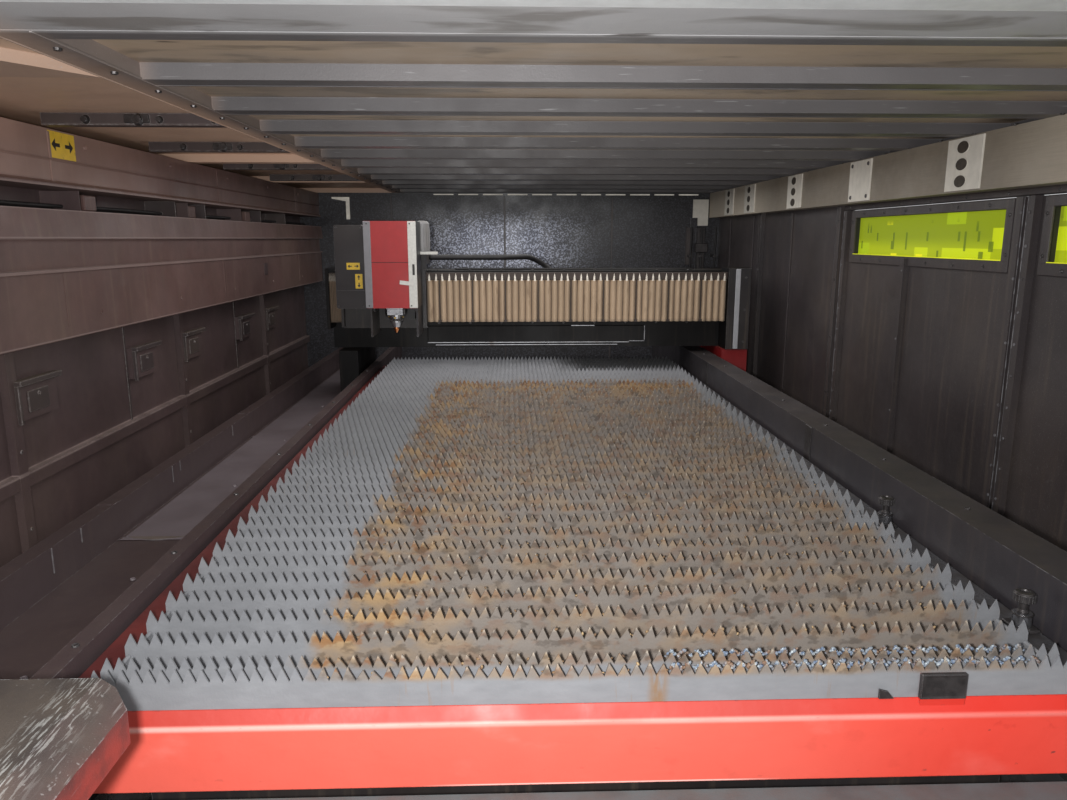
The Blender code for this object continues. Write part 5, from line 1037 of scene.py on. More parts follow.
class MACHINE_OT_pallet(bpy.types.Operator):
    """Paint the pallet and add its stop block, edge strip screws and clamps"""
    bl_idname = "laser_cutter.pallet"
    bl_label = "Pallet"

    def execute(self, context):
        coat(pallet_paint(), "pallet_frame")
        coat(rail_steel(), "edge_strip")
        for side in ("left", "right"):
            for end in ("front", "rear"):
                coat(wheel_steel(), f"wheel_{end}_{side}")
        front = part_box("pallet_frame")[0].y
        block = bmesh.new()
        low, high = Vector((0.6152, front + 0.0062, 0.8822)), Vector((0.6888, front + 0.0147, 0.9248))
        add_block(block, low, high, bevel=0.0014)
        face = max(block.faces, key=lambda item: -item.calc_center_median().y + item.calc_area())
        bmesh.ops.inset_individual(block, faces=[face], thickness=0.005, depth=-0.0008)
        wedge = ((0.552, 0.8825), (0.576, 0.8825), (0.566, 0.8945), (0.552, 0.8985))
        add_outline(block, [(x, front + 0.0105, z) for x, z in wedge], (0, 0.004, 0))
        finish_piece(block, "stop_block", [dark_steel()], "pallet")

        low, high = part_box("edge_strip")
        screws = bmesh.new()
        top = 0.9063
        add_discs(screws, (low.x + 0.010, spaced(low.y + 0.05, high.y - 0.03, 0.16), top), UP, 0.006, 0.0025,
                  sink=0.0015)
        for clamp in ("front", "rear"):
            middle = middle_of("clamp_knob_" + clamp)
            add_block(screws, (middle.x - 0.020, middle.y - 0.026, top),
                      (middle.x + 0.020, middle.y + 0.026, top + 0.006), bevel=0.0015)
            add_ring(screws, (middle.x, middle.y, 0.9340), UP, 0.0165, 0.0016)
            add_discs(screws, (middle.x, (middle.y - 0.021, middle.y + 0.021), top + 0.006), UP, 0.0035, 0.002,
                      sides=8, sink=0.001)
        finish_piece(screws, "edge_strip_screws", [dark_steel()], "pallet")
        for clamp in ("front", "rear"):
            self.knob(clamp)
        return {"FINISHED"}

    def knob(self, clamp):
        """A turned clamp knob with a knurled cap."""
        low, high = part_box("clamp_knob_" + clamp)
        middle = (low + high) / 2
        radius, neck, height = (high.x - low.x) / 2, 0.010, high.z - low.z
        mesh = bmesh.new()
        cap = height * 0.52
        profile = [(0, 0), (neck, 0), (neck, 0.003), (neck * 0.8, 0.006), (neck * 0.8, cap - 0.003), (neck, cap),
                   (radius - 0.004, cap), (radius - 0.0015, cap + 0.002), (radius - 0.0015, height - 0.004),
                   (radius - 0.004, height - 0.001), (radius * 0.45, height), (radius * 0.40, height - 0.003),
                   (0, height - 0.003)]
        add_lathe(mesh, profile, (middle.x, middle.y, low.z), steps=36)
        walls = []
        for face in mesh.faces:
            away = face.calc_center_median() - middle
            height_on_cap = away.z + middle.z - low.z - cap
            if abs(height_on_cap - 0.008) < 0.006 and abs(face.normal.z) < 0.1 and away.xy.length > radius * 0.8:
                walls.append(face)
        bmesh.ops.inset_individual(mesh, faces=walls[::2], thickness=0.0003, depth=0.0011)
        finish_piece(mesh, "knurled_knob_" + clamp, [dark_steel()], "clamp_" + clamp,
                     replaced=("clamp_knob_" + clamp,))


class MACHINE_OT_bed(bpy.types.Operator):
    """Finish the bed, rails, covers and tray, with their screws and folded lips"""
    bl_idname = "laser_cutter.bed"
    bl_label = "Bed and Covers"

    def execute(self, context):
        coat(frame_paint(), "bed_frame", "slag_hopper", "scrap_drawer_front", "scrap_drawer_rear")
        coat(rail_steel(), "gantry_rail_left", "gantry_rail_right", "pallet_rail_left", "pallet_rail_right")
        coat(cover_paint(), "rail_cover_left", "rail_cover_right", "left_tray")
        self.cover_screws()
        self.tray_parts()
        self.feet_and_pulls()
        return {"FINISHED"}

    def cover_screws(self):
        screws = bmesh.new()
        for node, x in (("rail_cover_left", -0.743), ("rail_cover_right", 0.976)):
            low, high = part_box(node)
            add_discs(screws, (x, spaced(low.y + 0.12, high.y - 0.1, 0.40), high.z), UP, 0.0065, 0.003, sink=0.0018)
        low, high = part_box("rail_cover_right")
        for y in (0.62, 1.95):
            add_block(screws, (low.x - 0.0025, y, high.z - 0.30), (low.x + 0.001, y + 0.05, high.z - 0.002),
                      bevel=0.001)
        finish_piece(screws, "cover_screws", [dark_steel()], "machine")

    def tray_parts(self):
        """The tray's sheet seams, the loose plate's pointed front corner and scattered clips."""
        low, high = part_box("left_tray")
        parts = bmesh.new()
        for y in (0.28, 1.42, 2.56):
            add_block(parts, (-1.084, y, 0.791), (-0.886, y + 0.018, 0.7935), bevel=0.0008)
            add_block(parts, (low.x + 0.001, y, high.z - 0.001), (low.x + 0.046, y + 0.03, high.z + 0.002),
                      bevel=0.0008)
        add_outline(parts, [(-1.070, 0.304, 0.7905), (-0.900, 0.304, 0.7905), (-0.930, 0.285, 0.7905),
                            (-0.985, 0.276, 0.7905), (-1.040, 0.285, 0.7905)], (0, 0, 0.0035), index=1)
        for y, length in ((-0.02, 0.060), (0.11, 0.035), (0.66, 0.050), (0.72, 0.030), (1.22, 0.040)):
            add_block(parts, (low.x + 0.0440, y, 0.886 - length), (low.x + 0.0475, y + 0.004, 0.888), bevel=0.001,
                      index=1)
        for y in (-0.42, 0.02, 0.75, 1.35, 2.02, 2.7):
            add_disc(parts, (-0.925, y, 0.7915 if y < 0.3 else 0.794), UP, 0.007, 0.003, sink=0.0018)
        finish_piece(parts, "tray_fittings", [cover_paint(), coated("plate_grey")], "machine")

    def feet_and_pulls(self):
        parts = bmesh.new()
        for node in ("scrap_drawer_front", "scrap_drawer_rear"):
            low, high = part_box(node)
            middle = (low.y + high.y) / 2
            mesh = bmesh.new()
            add_discs(mesh, (high.x - 0.0004, (low.y + 0.05, high.y - 0.05), (low.z + 0.04, high.z - 0.04)), RIGHT,
                      0.009, 0.004, sides=12, sink=0.002)
            add_block(mesh, (high.x - 0.0004, middle - 0.20, low.z + 0.05),
                      (high.x + 0.002, middle + 0.20, low.z + 0.17), bevel=0.0015, index=1)
            finish_piece(mesh, node + "_fittings", [dark_steel(), coated("plate_grey")],
                         node.replace("scrap_", ""))
        add_discs(parts, ((-0.87, 1.07), (-0.60, 1.00, 2.60), 0.0215), UP, 0.030, 0.012, sides=6, top=1.0)
        finish_piece(parts, "levelling_nuts", [bright_steel()], "machine")


class MACHINE_OT_cabin(bpy.types.Operator):
    """Finish the cabin's walls and add posts, brackets, windows, seams and cables"""
    bl_idname = "laser_cutter.cabin"
    bl_label = "Cabin Walls"

    def execute(self, context):
        coat(left_paint(), "left_wall")
        coat(wall_paint(), "right_wall", "side_door_front", "side_door_rear")
        coat(back_paint(), "back_wall")
        coat(hood_paint(), "left_hood", "left_hood_top")
        coat(duct_paint(), "cable_duct")
        coat(acrylic(), "window_front", "window_rear")
        self.left_side()
        self.right_side()
        self.windows()
        self.duct_plates()
        self.back_side()
        return {"FINISHED"}

    def left_side(self):
        """Folded latch brackets, hood seams and screws, and the cables in the hood's slot."""
        face = -1.35
        mesh = bmesh.new()
        x = face + 0.0006
        for post in (0.35, 1.49, 2.63):
            for y in (post - 0.345, post + 0.105):
                add_block(mesh, (x - 0.003, y - 0.102, 1.198), (x + 0.018, y + 0.102, 1.214), bevel=0.002)
                add_block(mesh, (x - 0.002, y - 0.102, 1.094), (x + 0.010, y - 0.092, 1.200), bevel=0.0015)
                add_block(mesh, (x - 0.001, y - 0.050, 1.118), (x + 0.004, y + 0.050, 1.178), bevel=0.0015)
                add_disc(mesh, (x + 0.004, y, 1.165), RIGHT, 0.006, 0.003, sink=0.0015)
            add_discs(mesh, (face - 0.0003, post, (0.30, 0.62, 0.80, 1.02, 1.30)), RIGHT, 0.006, 0.003)
        for y in (-0.12, 1.03, 2.18):
            add_block(mesh, (-1.3725, y, 0.95), (-1.3690, y + 0.012, 1.33), bevel=0.001)
        finish_piece(mesh, "latch_brackets", [latch_paint()], "machine")

        hood = bmesh.new()
        inner = -1.245
        for y in (0.46, 1.72, 2.98):
            add_block(hood, (inner - 0.003, y, 1.735), (inner + 0.0022, y + 0.010, 1.870), bevel=0.0008)
            add_block(hood, (inner - 0.003, y, 1.350), (inner + 0.0022, y + 0.010, 1.495), bevel=0.0008)
        add_outline(hood, [(inner - 0.002, -0.696, 1.792), (inner + 0.006, -0.696, 1.799),
                           (inner - 0.002, -0.696, 1.801)], (0, 4.264, 0))
        for y in (-0.55, 0.05, 0.65, 1.25, 1.85, 2.45, 3.05):
            add_disc(hood, (inner - 0.0004, y, 1.845), RIGHT, 0.007, 0.004, sink=0.002)
            add_disc(hood, (inner - 0.0004, y, 1.372), RIGHT, 0.006, 0.003, sink=0.0018)
        add_block(hood, (inner - 0.060, -0.696, 1.3150), (inner - 0.002, 3.568, 1.3200), bevel=0.0015)
        for y, low, high in ((2.30, 1.41, 1.47), (2.36, 1.60, 1.64)):
            add_block(hood, (inner - 0.004, y, low), (inner + 0.003, y + 0.055, high), bevel=0.002, index=1)
        self.slot_cables(hood)
        finish_piece(hood, "hood_fittings", [hood_paint(), left_paint(), latch_paint(), rubber()], "machine")
        add_arrow_plate("travel_plate", "machine", (inner, 0.530, 1.838), RIGHT, BACK, 0.130, 0.070)

    def slot_cables(self, mesh):
        """Cables, clips and pale bracket edges inside the hood's long slot."""
        back, low = -1.3717, 1.667
        for row, sag in enumerate((0.002, 0.010)):
            x = back + 0.030 + 0.028 * row
            points = [(x, -0.55 + 0.5 * number, low + 0.009 + sag * (number % 2)) for number in range(9)]
            add_cable(mesh, points, 0.008 - 0.002 * row, index=3)
        for y in (-0.10, 0.02, 0.12, 0.62, 1.30, 1.42, 1.60, 2.05, 2.35, 2.8):
            add_block(mesh, (back - 0.001, y, low - 0.0005), (back + 0.112, y + 0.003, low + 0.058), bevel=0.0008,
                      index=1 if int(y * 100) % 5 else 2)
        for y in (-0.06, 0.70, 1.50, 2.20):
            add_block(mesh, (back - 0.001, y, low + 0.004), (back + 0.085, y + 0.07, low + 0.050), bevel=0.003,
                      index=0)

    def right_side(self):
        """Scratched post edges, rivets, panel folds, the lintel strip and hinge screws on the right wall."""
        mesh = bmesh.new()
        for y in (1.57, 2.63):
            add_discs(mesh, (1.3504, y, (0.46, 0.70, 0.94, 1.18, 1.42, 1.66)), LEFT, 0.006, 0.003, index=1)
            for side in (-1, 1):
                add_block(mesh, (1.3485, y + side * 0.0185 - 0.0015, 0.40),
                          (1.3510, y + side * 0.0185 + 0.0015, 1.718), bevel=0.0006, index=1)
        for y in (2.17, 2.80, 3.28):
            add_block(mesh, (1.3660, y, 0.42), (1.3725, y + 0.022, 1.715), bevel=0.002)
        add_block(mesh, (1.3650, -0.68, 1.703), (1.3725, 1.56, 1.7215), bevel=0.002)
        add_discs(mesh, (1.3652, spaced(-0.60, 1.5, 0.21), 1.712), LEFT, 0.005, 0.003, index=1)
        finish_piece(mesh, "wall_ribs_right", [wall_paint(), dark_steel()], "machine")

        for name in ("front", "rear"):
            low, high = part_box("side_door_" + name)
            door = bmesh.new()
            for y in (low.y + 0.0022, high.y - 0.0052):
                add_block(door, (low.x - 0.0012, y, low.z + 0.002), (low.x + 0.001, y + 0.003, high.z - 0.002),
                          bevel=0.0005, index=1)
            heights = [low.z + 0.05 + step * 0.088 for step in range(12)]
            add_discs(door, (low.x + 0.0004, (low.y + 0.015, high.y - 0.015), heights), LEFT, 0.0045, 0.0025,
                      sides=8, index=1)
            middle = low.y + 0.55 * (high.y - low.y - 0.03)
            add_discs(door, (low.x + 0.0004, middle + 0.015, (0.72, 0.98, 1.24, 1.48)), LEFT, 0.0045, 0.0025,
                      sides=8, index=1)
            add_block(door, (1.4002, high.y - 0.10, 0.78), (1.4035, high.y - 0.035, 1.00), bevel=0.002)
            add_discs(door, (1.4035, high.y - 0.07, (0.79, 0.985)), RIGHT, 0.005, 0.003, sink=0.0015, index=1)
            finish_piece(door, "door_trims_" + name, [wall_paint(), scratched_edge()], "door_" + name)

    def windows(self):
        """Each window's dark frame, with a seal and screws, on the inside of its door."""
        for name in ("front", "rear"):
            low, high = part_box("window_" + name)
            mesh = bmesh.new()
            x = 1.3738
            border, inset = 0.030, 0.004
            sides = (((low.y - border, low.z - border), (high.y + border, low.z + inset)),
                     ((low.y - border, high.z - inset), (high.y + border, high.z + 0.024)),
                     ((low.y - border, low.z), (low.y + inset, high.z)),
                     ((high.y - inset, low.z), (high.y + border, high.z)))
            for (y1, z1), (y2, z2) in sides:
                add_block(mesh, (x - 0.009, y1, z1), (x + 0.001, y2, z2), bevel=0.0018)
                add_block(mesh, (x - 0.004, max(y1, low.y - 0.002), max(z1, low.z - 0.002)),
                          (x + 0.012, min(y2, high.y + 0.002), min(z2, high.z + 0.002)), bevel=0.0012, index=1)
            row = [low.y + (high.y - low.y) * (number + 0.5) / 6 for number in range(6)]
            add_discs(mesh, (x - 0.009, row, (low.z - 0.016, high.z + 0.010)), LEFT, 0.005, 0.003, sink=0.0016,
                      index=2)
            add_discs(mesh, (x - 0.009, (low.y - 0.016, high.y + 0.016), (low.z + 0.02, high.z - 0.02)), LEFT,
                      0.005, 0.003, sink=0.0016, index=2)
            add_block(mesh, (x - 0.010, low.y + 0.004, low.z + 0.003), (x - 0.0085, high.y - 0.004, low.z + 0.0055),
                      index=3)
            finish_piece(mesh, "window_frame_" + name, [wall_paint(), rubber(), dark_steel(), lit_edge()],
                         "door_" + name)

    def duct_plates(self):
        """The pale bracket plates on the duct: perforated ones, one with four screws, and a blank one."""
        mesh = bmesh.new()
        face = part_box("cable_duct")[0].x
        low, top = 1.7275, 1.8755
        wide = 0.18
        for number, y in enumerate((0.48, 1.18, 1.88, 2.58, 2.99)):
            add_block(mesh, (face - 0.0012, y - 0.001, low), (1.3005, y + wide + 0.001, top), bevel=0.0008)
            if number == 1:
                add_discs(mesh, (face - 0.0012, (y + 0.022, y + wide - 0.022), (low + 0.016, top - 0.016)), LEFT,
                          0.0075, 0.003, sink=0.0016, index=1)
                continue
            for step in range(3):
                centre = Vector((face - 0.0016, y + wide * 0.55, low + 0.026 + step * 0.048))
                slot = Matrix.Translation(centre) @ Matrix.Diagonal((1, 1.75, 1, 1)) @ Matrix.Translation(-centre)
                hole = shape_verts(mesh, add_disc, centre, LEFT, 0.0172, 0.0006, sides=20, top=1.0, index=2)
                rim = shape_verts(mesh, add_ring, centre, LEFT, 0.0180, 0.0012, steps=20, sides=6)
                bmesh.ops.transform(mesh, matrix=slot, verts=hole + rim)
        finish_piece(mesh, "duct_plates", [coated("plate_paint"), dark_steel(), plain("hole_dark")], "machine")

    def back_side(self):
        """The back wall's seam, corner post, lit slots and the fittings in its right corner."""
        mesh = bmesh.new()
        face = 3.572
        seam = -0.045
        add_block(mesh, (seam - 0.006, face - 0.003, 0.42), (seam + 0.006, face + 0.001, 1.858), bevel=0.001)
        for x in (-0.78, 0.66):
            add_block(mesh, (x - 0.006, face - 0.003, 0.42), (x + 0.006, face + 0.001, 1.858), bevel=0.001)
        add_discs(mesh, ((seam - 0.022, seam + 0.022), face + 0.0003, spaced(0.62, 1.85, 0.24)), FRONT, 0.005,
                  0.003, sides=8, index=1)
        for number in range(9):
            x = 0.52 + (number - 4) * 0.16
            add_block(mesh, (x - 0.0648, face + 0.002, 1.8662), (x + 0.0648, face + 0.006, 1.8738), index=2)
        for x in (-0.28, -0.44):
            add_block(mesh, (x - 0.0648, face - 0.0012, 1.8668), (x + 0.0648, face + 0.001, 1.8732), index=2)
        add_block(mesh, (1.15, face - 0.030, 1.42), (1.19, face + 0.001, 1.66), bevel=0.002)
        add_block(mesh, (1.215, face - 0.060, 1.36), (1.265, face + 0.001, 1.66), bevel=0.003, index=1)
        add_block(mesh, (1.20, face - 0.09, 1.50), (1.28, face - 0.05, 1.56), bevel=0.004, index=1)
        for x in (1.17, 1.24, 1.33):
            points = [(x, face - 0.075, 1.66), (x + 0.004, face - 0.080, 1.60), (x - 0.006, face - 0.070, 1.45),
                      (x + 0.003, face - 0.075, 1.25), (x, face - 0.05, 1.05)]
            add_cable(mesh, points, 0.006, index=3)
            add_block(mesh, (x - 0.012, face - 0.083, 1.47), (x + 0.012, face + 0.001, 1.485), bevel=0.001, index=1)
            add_block(mesh, (x - 0.012, face - 0.066, 1.05), (x + 0.012, face + 0.001, 1.065), bevel=0.001, index=1)
        finish_piece(mesh, "back_fittings", [wall_paint(), dark_steel(), slot_light(), rubber()], "machine")

        hook = bmesh.new()
        corners = [(-1.160, 1.852), (-1.048, 1.852), (-1.048, 1.712), (-1.070, 1.712), (-1.070, 1.826),
                   (-1.160, 1.842)]
        add_outline(hook, [(x, face - 0.010, z) for x, z in corners], (0, 0.0105, 0))
        add_block(hook, (1.190, face - 0.012, 1.672), (1.292, face - 0.004, 1.840), bevel=0.001, index=1)
        add_block(hook, (1.194, face - 0.005, 1.676), (1.288, face + 0.001, 1.836), index=1)
        finish_piece(hook, "corner_bracket", [slot_light(), coated("plate_paint")], "machine")


@finish
def latch_paint():
    made = powder_coat("latch_paint", (70, 60, 60), dust=0.5, wear=0.9)
    made.layer((150, 138, 132), made.edges(0.004, 0.995, 0.85), 0.45)
    return made


@finish
def scratched_edge():
    """Post edges scratched to bright metal here and there."""
    made = Finish("scratched_edge", (86, 82, 84), roughness=0.4, metallic=0.3)
    bright = made.patches(0.010, 4, 0.46, 0.56, stretch=(1, 1, 2.5))
    made.layer((150, 150, 154), bright, 0.6)
    made.grain(0.003, 3, 0.0003)
    return made


@finish
def lit_edge():
    """The window's lower edge, where light gathers in the acrylic."""
    made = Finish("lit_edge", (226, 232, 40), roughness=0.3)
    made.shade(0.05, 3, 0.7, 1.1, stretch=(1, 2, 1))
    made.glow(0.5)
    return made


@finish
def slot_light():
    """Daylight from the hall behind the slots under the roof."""
    made = Finish("slot_light", (214, 208, 196), roughness=0.6)
    made.shade(0.06, 3, 0.7, 1.1)
    made.glow(0.3)
    return made


class MACHINE_OT_roof(bpy.types.Operator):
    """Finish the roof and add rib lips, bolts, gussets and the bracket plates"""
    bl_idname = "laser_cutter.roof"
    bl_label = "Roof"

    def execute(self, context):
        coat(roof_paint(), "roof")
        mesh = bmesh.new()
        for number in range(11):
            y = -0.20 + 0.366 * number
            if y > 3.5:
                continue
            add_block(mesh, (-0.704, y + 0.0570, 1.8790), (1.2935, y + 0.0625, 1.8835), bevel=0.0008)
            for x in (-0.690, 1.280):
                add_outline(mesh, [(x, y + 0.060, 1.8805), (x, y + 0.105, 1.9095), (x, y + 0.060, 1.9095)],
                            (0.010, 0, 0))
        for x in (-0.768, -0.706):
            add_block(mesh, (x, -0.555, 1.8785), (x + 0.004, 3.56, 1.8830), bevel=0.0008)
        for y in spaced(-0.45, 3.5, 0.183):
            add_disc(mesh, (-0.722, y, 1.8803), DOWN, 0.007, 0.0045, index=1)
            add_disc(mesh, (1.287, y + 0.05, 1.8803), DOWN, 0.0055, 0.004, index=1)
        for y in (0.42, 1.06, 1.78, 2.46):
            self.left_bracket(mesh, y)
        add_outline(mesh, [(-1.236, -0.36, 1.8880), (-0.92, -0.36, 1.8880), (-0.79, -0.17, 1.8880),
                           (-1.236, -0.17, 1.8880)], (0, 0, 0.0225))
        add_block(mesh, (-1.225, -0.56, 1.9045), (-0.77, -0.53, 1.9105), bevel=0.002)
        add_block(mesh, (-1.395, -0.562, 1.8795), (1.395, -0.508, 1.8850), bevel=0.0015)
        finish_piece(mesh, "roof_fittings", [roof_paint(), dark_steel(), latch_paint()], "machine")
        return {"FINISHED"}

    def left_bracket(self, mesh, y):
        """A folded angle across the roof's left part, with its knobs."""
        add_block(mesh, (-1.235, y, 1.8800), (-0.766, y + 0.006, 1.9105), bevel=0.001, index=2)
        add_block(mesh, (-1.235, y, 1.8792), (-0.766, y + 0.040, 1.8830), bevel=0.001, index=2)
        for x, radius in ((-1.12, 0.012), (-0.985, 0.016), (-0.93, 0.010), (-0.79, 0.010)):
            add_disc(mesh, (x, y, 1.8935), FRONT, radius, 0.012, sides=12, top=0.7, index=1)
        add_block(mesh, (-1.020, y - 0.006, 1.8840), (-0.955, y + 0.001, 1.9060), bevel=0.002, index=1)


LEFT_FOLDS = 36                 # pleats of the short bellows


class MACHINE_OT_gantry(bpy.types.Operator):
    """Build the pleated bellows and the hose, and finish the beam, saddles and end guard"""
    bl_idname = "laser_cutter.gantry"
    bl_label = "Gantry and Bellows"

    def execute(self, context):
        coat(beam_paint(), "gantry_beam", "saddle_left", "end_guard")
        coat(coated("saddle_red"), "saddle_right")
        self.bellows("right", settings().bellows.folds, "carriage", "gantry")
        self.bellows("left", LEFT_FOLDS, "gantry", "carriage")
        self.hose()
        self.beam_fittings()
        self.guard_fittings()
        return {"FINISHED"}

    def bellows(self, side, folds, first, second):
        """A cloth strip folded in pleats: rounded ridges at the front, pins over each, tape at every fifth."""
        choice, name, node = settings().bellows, "bellows_cloth_" + side, "bellows_" + side
        low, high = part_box(node)
        blend = (first, second, (low.x, 0, 0), (high.x, 0, 0))
        pitch = (high.x - low.x) / folds
        mesh = bmesh.new()
        front = low.y + 0.0012
        bottom, top = low.z + 0.001, high.z - choice.pin_height
        steps = 8
        total = folds * steps
        profile = []
        for number in range(total + 1):
            wave = 1 - abs(math.sin(math.pi * number / steps)) ** 0.7
            x = low.x + 0.0006 + (high.x - low.x - 0.0012) * number / total
            profile.append((x, front + choice.fold_depth * wave))
        verts = [mesh.verts.new((x, y, bottom)) for x, y in profile]
        edges = [mesh.edges.new(pair) for pair in zip(verts, verts[1:])]
        rows = 7
        for _ in range(rows):
            grown = bmesh.ops.extrude_edge_only(mesh, edges=edges)
            edges = [item for item in grown["geom"] if isinstance(item, bmesh.types.BMEdge)
                     and abs(item.verts[0].co.z - item.verts[1].co.z) < 1e-6]
            push(mesh, grown, (0, 0, (top - bottom) / rows))
        for vert in mesh.verts:
            height = (vert.co.z - bottom) / (top - bottom)
            ridge = math.sin(5.1 * (vert.co.x - low.x) / pitch) * pitch * 0.042
            inside = min(1.0, (vert.co.x - low.x) / pitch, (high.x - vert.co.x) / pitch)
            vert.co.x += math.sin(math.pi * height) * ridge * inside
            vert.co.y += 0.0015 * math.sin(math.pi * height) * math.cos((vert.co.x - low.x) / pitch * 4.0)
            vert.co.y = max(vert.co.y, low.y + 0.0003)
        dress(mesh.faces, 0, smooth=True)
        bmesh.ops.recalc_face_normals(mesh, faces=mesh.faces)
        if sum(face.normal.y for face in mesh.faces) > 0:
            bmesh.ops.reverse_faces(mesh, faces=mesh.faces)
        area = sum(face.calc_area() for face in mesh.faces)
        height = top - bottom
        cloth = finish_piece(mesh, name, [bellows_cloth()], None, replaced=(node,), blend=blend)

        fittings = bmesh.new()
        pin, line = pitch * 0.16, pitch * 0.08
        for number in range(folds):
            x = low.x + (number + 0.5) * pitch
            lean = pitch * 0.056 * math.sin(number * 2.3)
            spike = ((x - pin, top - 0.004), (x + pin, top - 0.004), (x + pin * 0.78 + lean, top + 0.016),
                     (x + lean, top + choice.pin_height - 0.004), (x - pin * 0.78 + lean, top + 0.016))
            add_outline(fittings, [(across, front - 0.0008, height) for across, height in spike], (0, 0.003, 0))
            add_block(fittings, (x - line, front + 0.002, bottom - 0.0004),
                      (x + line, front + 0.018, bottom + 0.004), bevel=line * 0.2, index=1)
            if number % 5 == 2:
                left = low.x + number * pitch
                add_block(fittings, (left - line, front - 0.0006, bottom),
                          (left + line, front + 0.0075, top + 0.002), bevel=line * 0.2, index=1)
                add_block(fittings, (left - line * 3, front - 0.0008, bottom - 0.0006),
                          (left + line * 3, front + 0.006, bottom + 0.010), bevel=line * 0.2, index=1)
        add_block(fittings, (low.x + 0.001, low.y + 0.004, top + 0.002),
                  (high.x - 0.001, high.y - 0.003, high.z - 0.001), bevel=0.0006, index=1)
        finish_piece(fittings, name + "_pins", [plain("pin_white"), plain("joint_tape")], None,
                     blend=blend)

    def hose(self):
        """The ribbed black hose from the carriage along the beam and down behind it."""
        low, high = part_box("conduit")
        radius = 0.0138
        start, dip, down = -0.4297, -0.07, 0.30
        points = []
        count = 150
        for number in range(count + 1):
            x = low.x + (high.x - low.x) * number / count
            share = min(max((x - dip) / (down - dip), 0), 1)
            back = 2.40 + 0.26 * (1 - math.cos(math.pi * min(share / 0.75, 1))) / 2
            drop = 1.495 - 0.105 * (1 - math.cos(math.pi * max((share - 0.35) / 0.65, 0))) / 2
            points.append(Vector((x, back, drop)))
        mesh = bmesh.new()
        ring = None
        for number, point in enumerate(points):
            along = (points[min(number + 1, count)] - points[max(number - 1, 0)]).normalized()
            wide = radius + (0.0012 if number % 2 else -0.0006)
            made = bmesh.ops.create_circle(mesh, segments=12, radius=wide, cap_ends=False,
                                           matrix=Matrix.Translation(point) @ towards(along))["verts"]
            edges = list({edge for vert in made for edge in vert.link_edges})
            if ring:
                bmesh.ops.bridge_loops(mesh, edges=ring + edges)
            ring = edges
        bmesh.ops.holes_fill(mesh, edges=mesh.edges)
        dress(mesh.faces, 0, smooth=True)
        bmesh.ops.recalc_face_normals(mesh, faces=mesh.faces)
        finish_piece(mesh, "ribbed_hose", [rubber()], None, replaced=("conduit",),
                     blend=("carriage", "gantry", (start, 0, 0), (high.x, 0, 0)))

    def beam_fittings(self):
        """Edge strips, screws and seams on the beam's front under the bellows, and on its top."""
        low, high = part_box("gantry_beam")
        mesh = bmesh.new()
        add_block(mesh, (-0.44, 2.322, 1.060), (0.68, 2.3305, 1.150), bevel=0.003)
        for (x1, z1), (x2, z2) in (((-0.44, 1.062), (0.60, 1.066)), ((-0.40, 1.050), (0.54, 1.0535)),
                                   ((0.678, 1.075), (0.682, 1.150)), ((0.60, 1.068), (0.68, 1.071)),
                                   ((0.30, 1.148), (0.42, 1.152))):
            add_block(mesh, (x1, 2.3200, z1), (x2, 2.3305, z2), bevel=0.0006, index=1)
        for x in spaced(low.x + 0.06, high.x - 0.14, 0.16):
            add_disc(mesh, (x, 2.330, 1.165), FRONT, 0.006, 0.004, sink=0.002, index=2)
            add_disc(mesh, (x, 2.345, 1.4303), UP, 0.006, 0.004, sink=0.002, index=2)
        add_block(mesh, (-0.30, 2.43, 1.4303), (0.95, 2.52, 1.4360), bevel=0.002)
        finish_piece(mesh, "beam_fittings", [beam_paint(), bright_steel(), dark_steel()], "gantry")

    def guard_fittings(self):
        """The light strip, dark side and hooks of the end guard."""
        low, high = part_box("end_guard")
        mesh = bmesh.new()
        add_block(mesh, (low.x + 0.0005, low.y - 0.002, low.z + 0.001), (1.106, low.y + 0.001, high.z - 0.001),
                  bevel=0.0008, index=1)
        add_block(mesh, (1.107, low.y - 0.005, low.z + 0.003), (1.131, low.y + 0.004, high.z - 0.004), bevel=0.0016)
        add_block(mesh, (1.132, low.y - 0.002, low.z + 0.001), (high.x - 0.0005, low.y + 0.001, high.z - 0.001),
                  bevel=0.0008, index=1)
        add_discs(mesh, (1.158, low.y - 0.0015, (1.08, 1.24, 1.40)), FRONT, 0.0055, 0.003, sides=12, sink=0.0014,
                  index=2)
        finish_piece(mesh, "guard_fittings", [guard_paint(), frame_paint(), dark_steel()], "gantry")


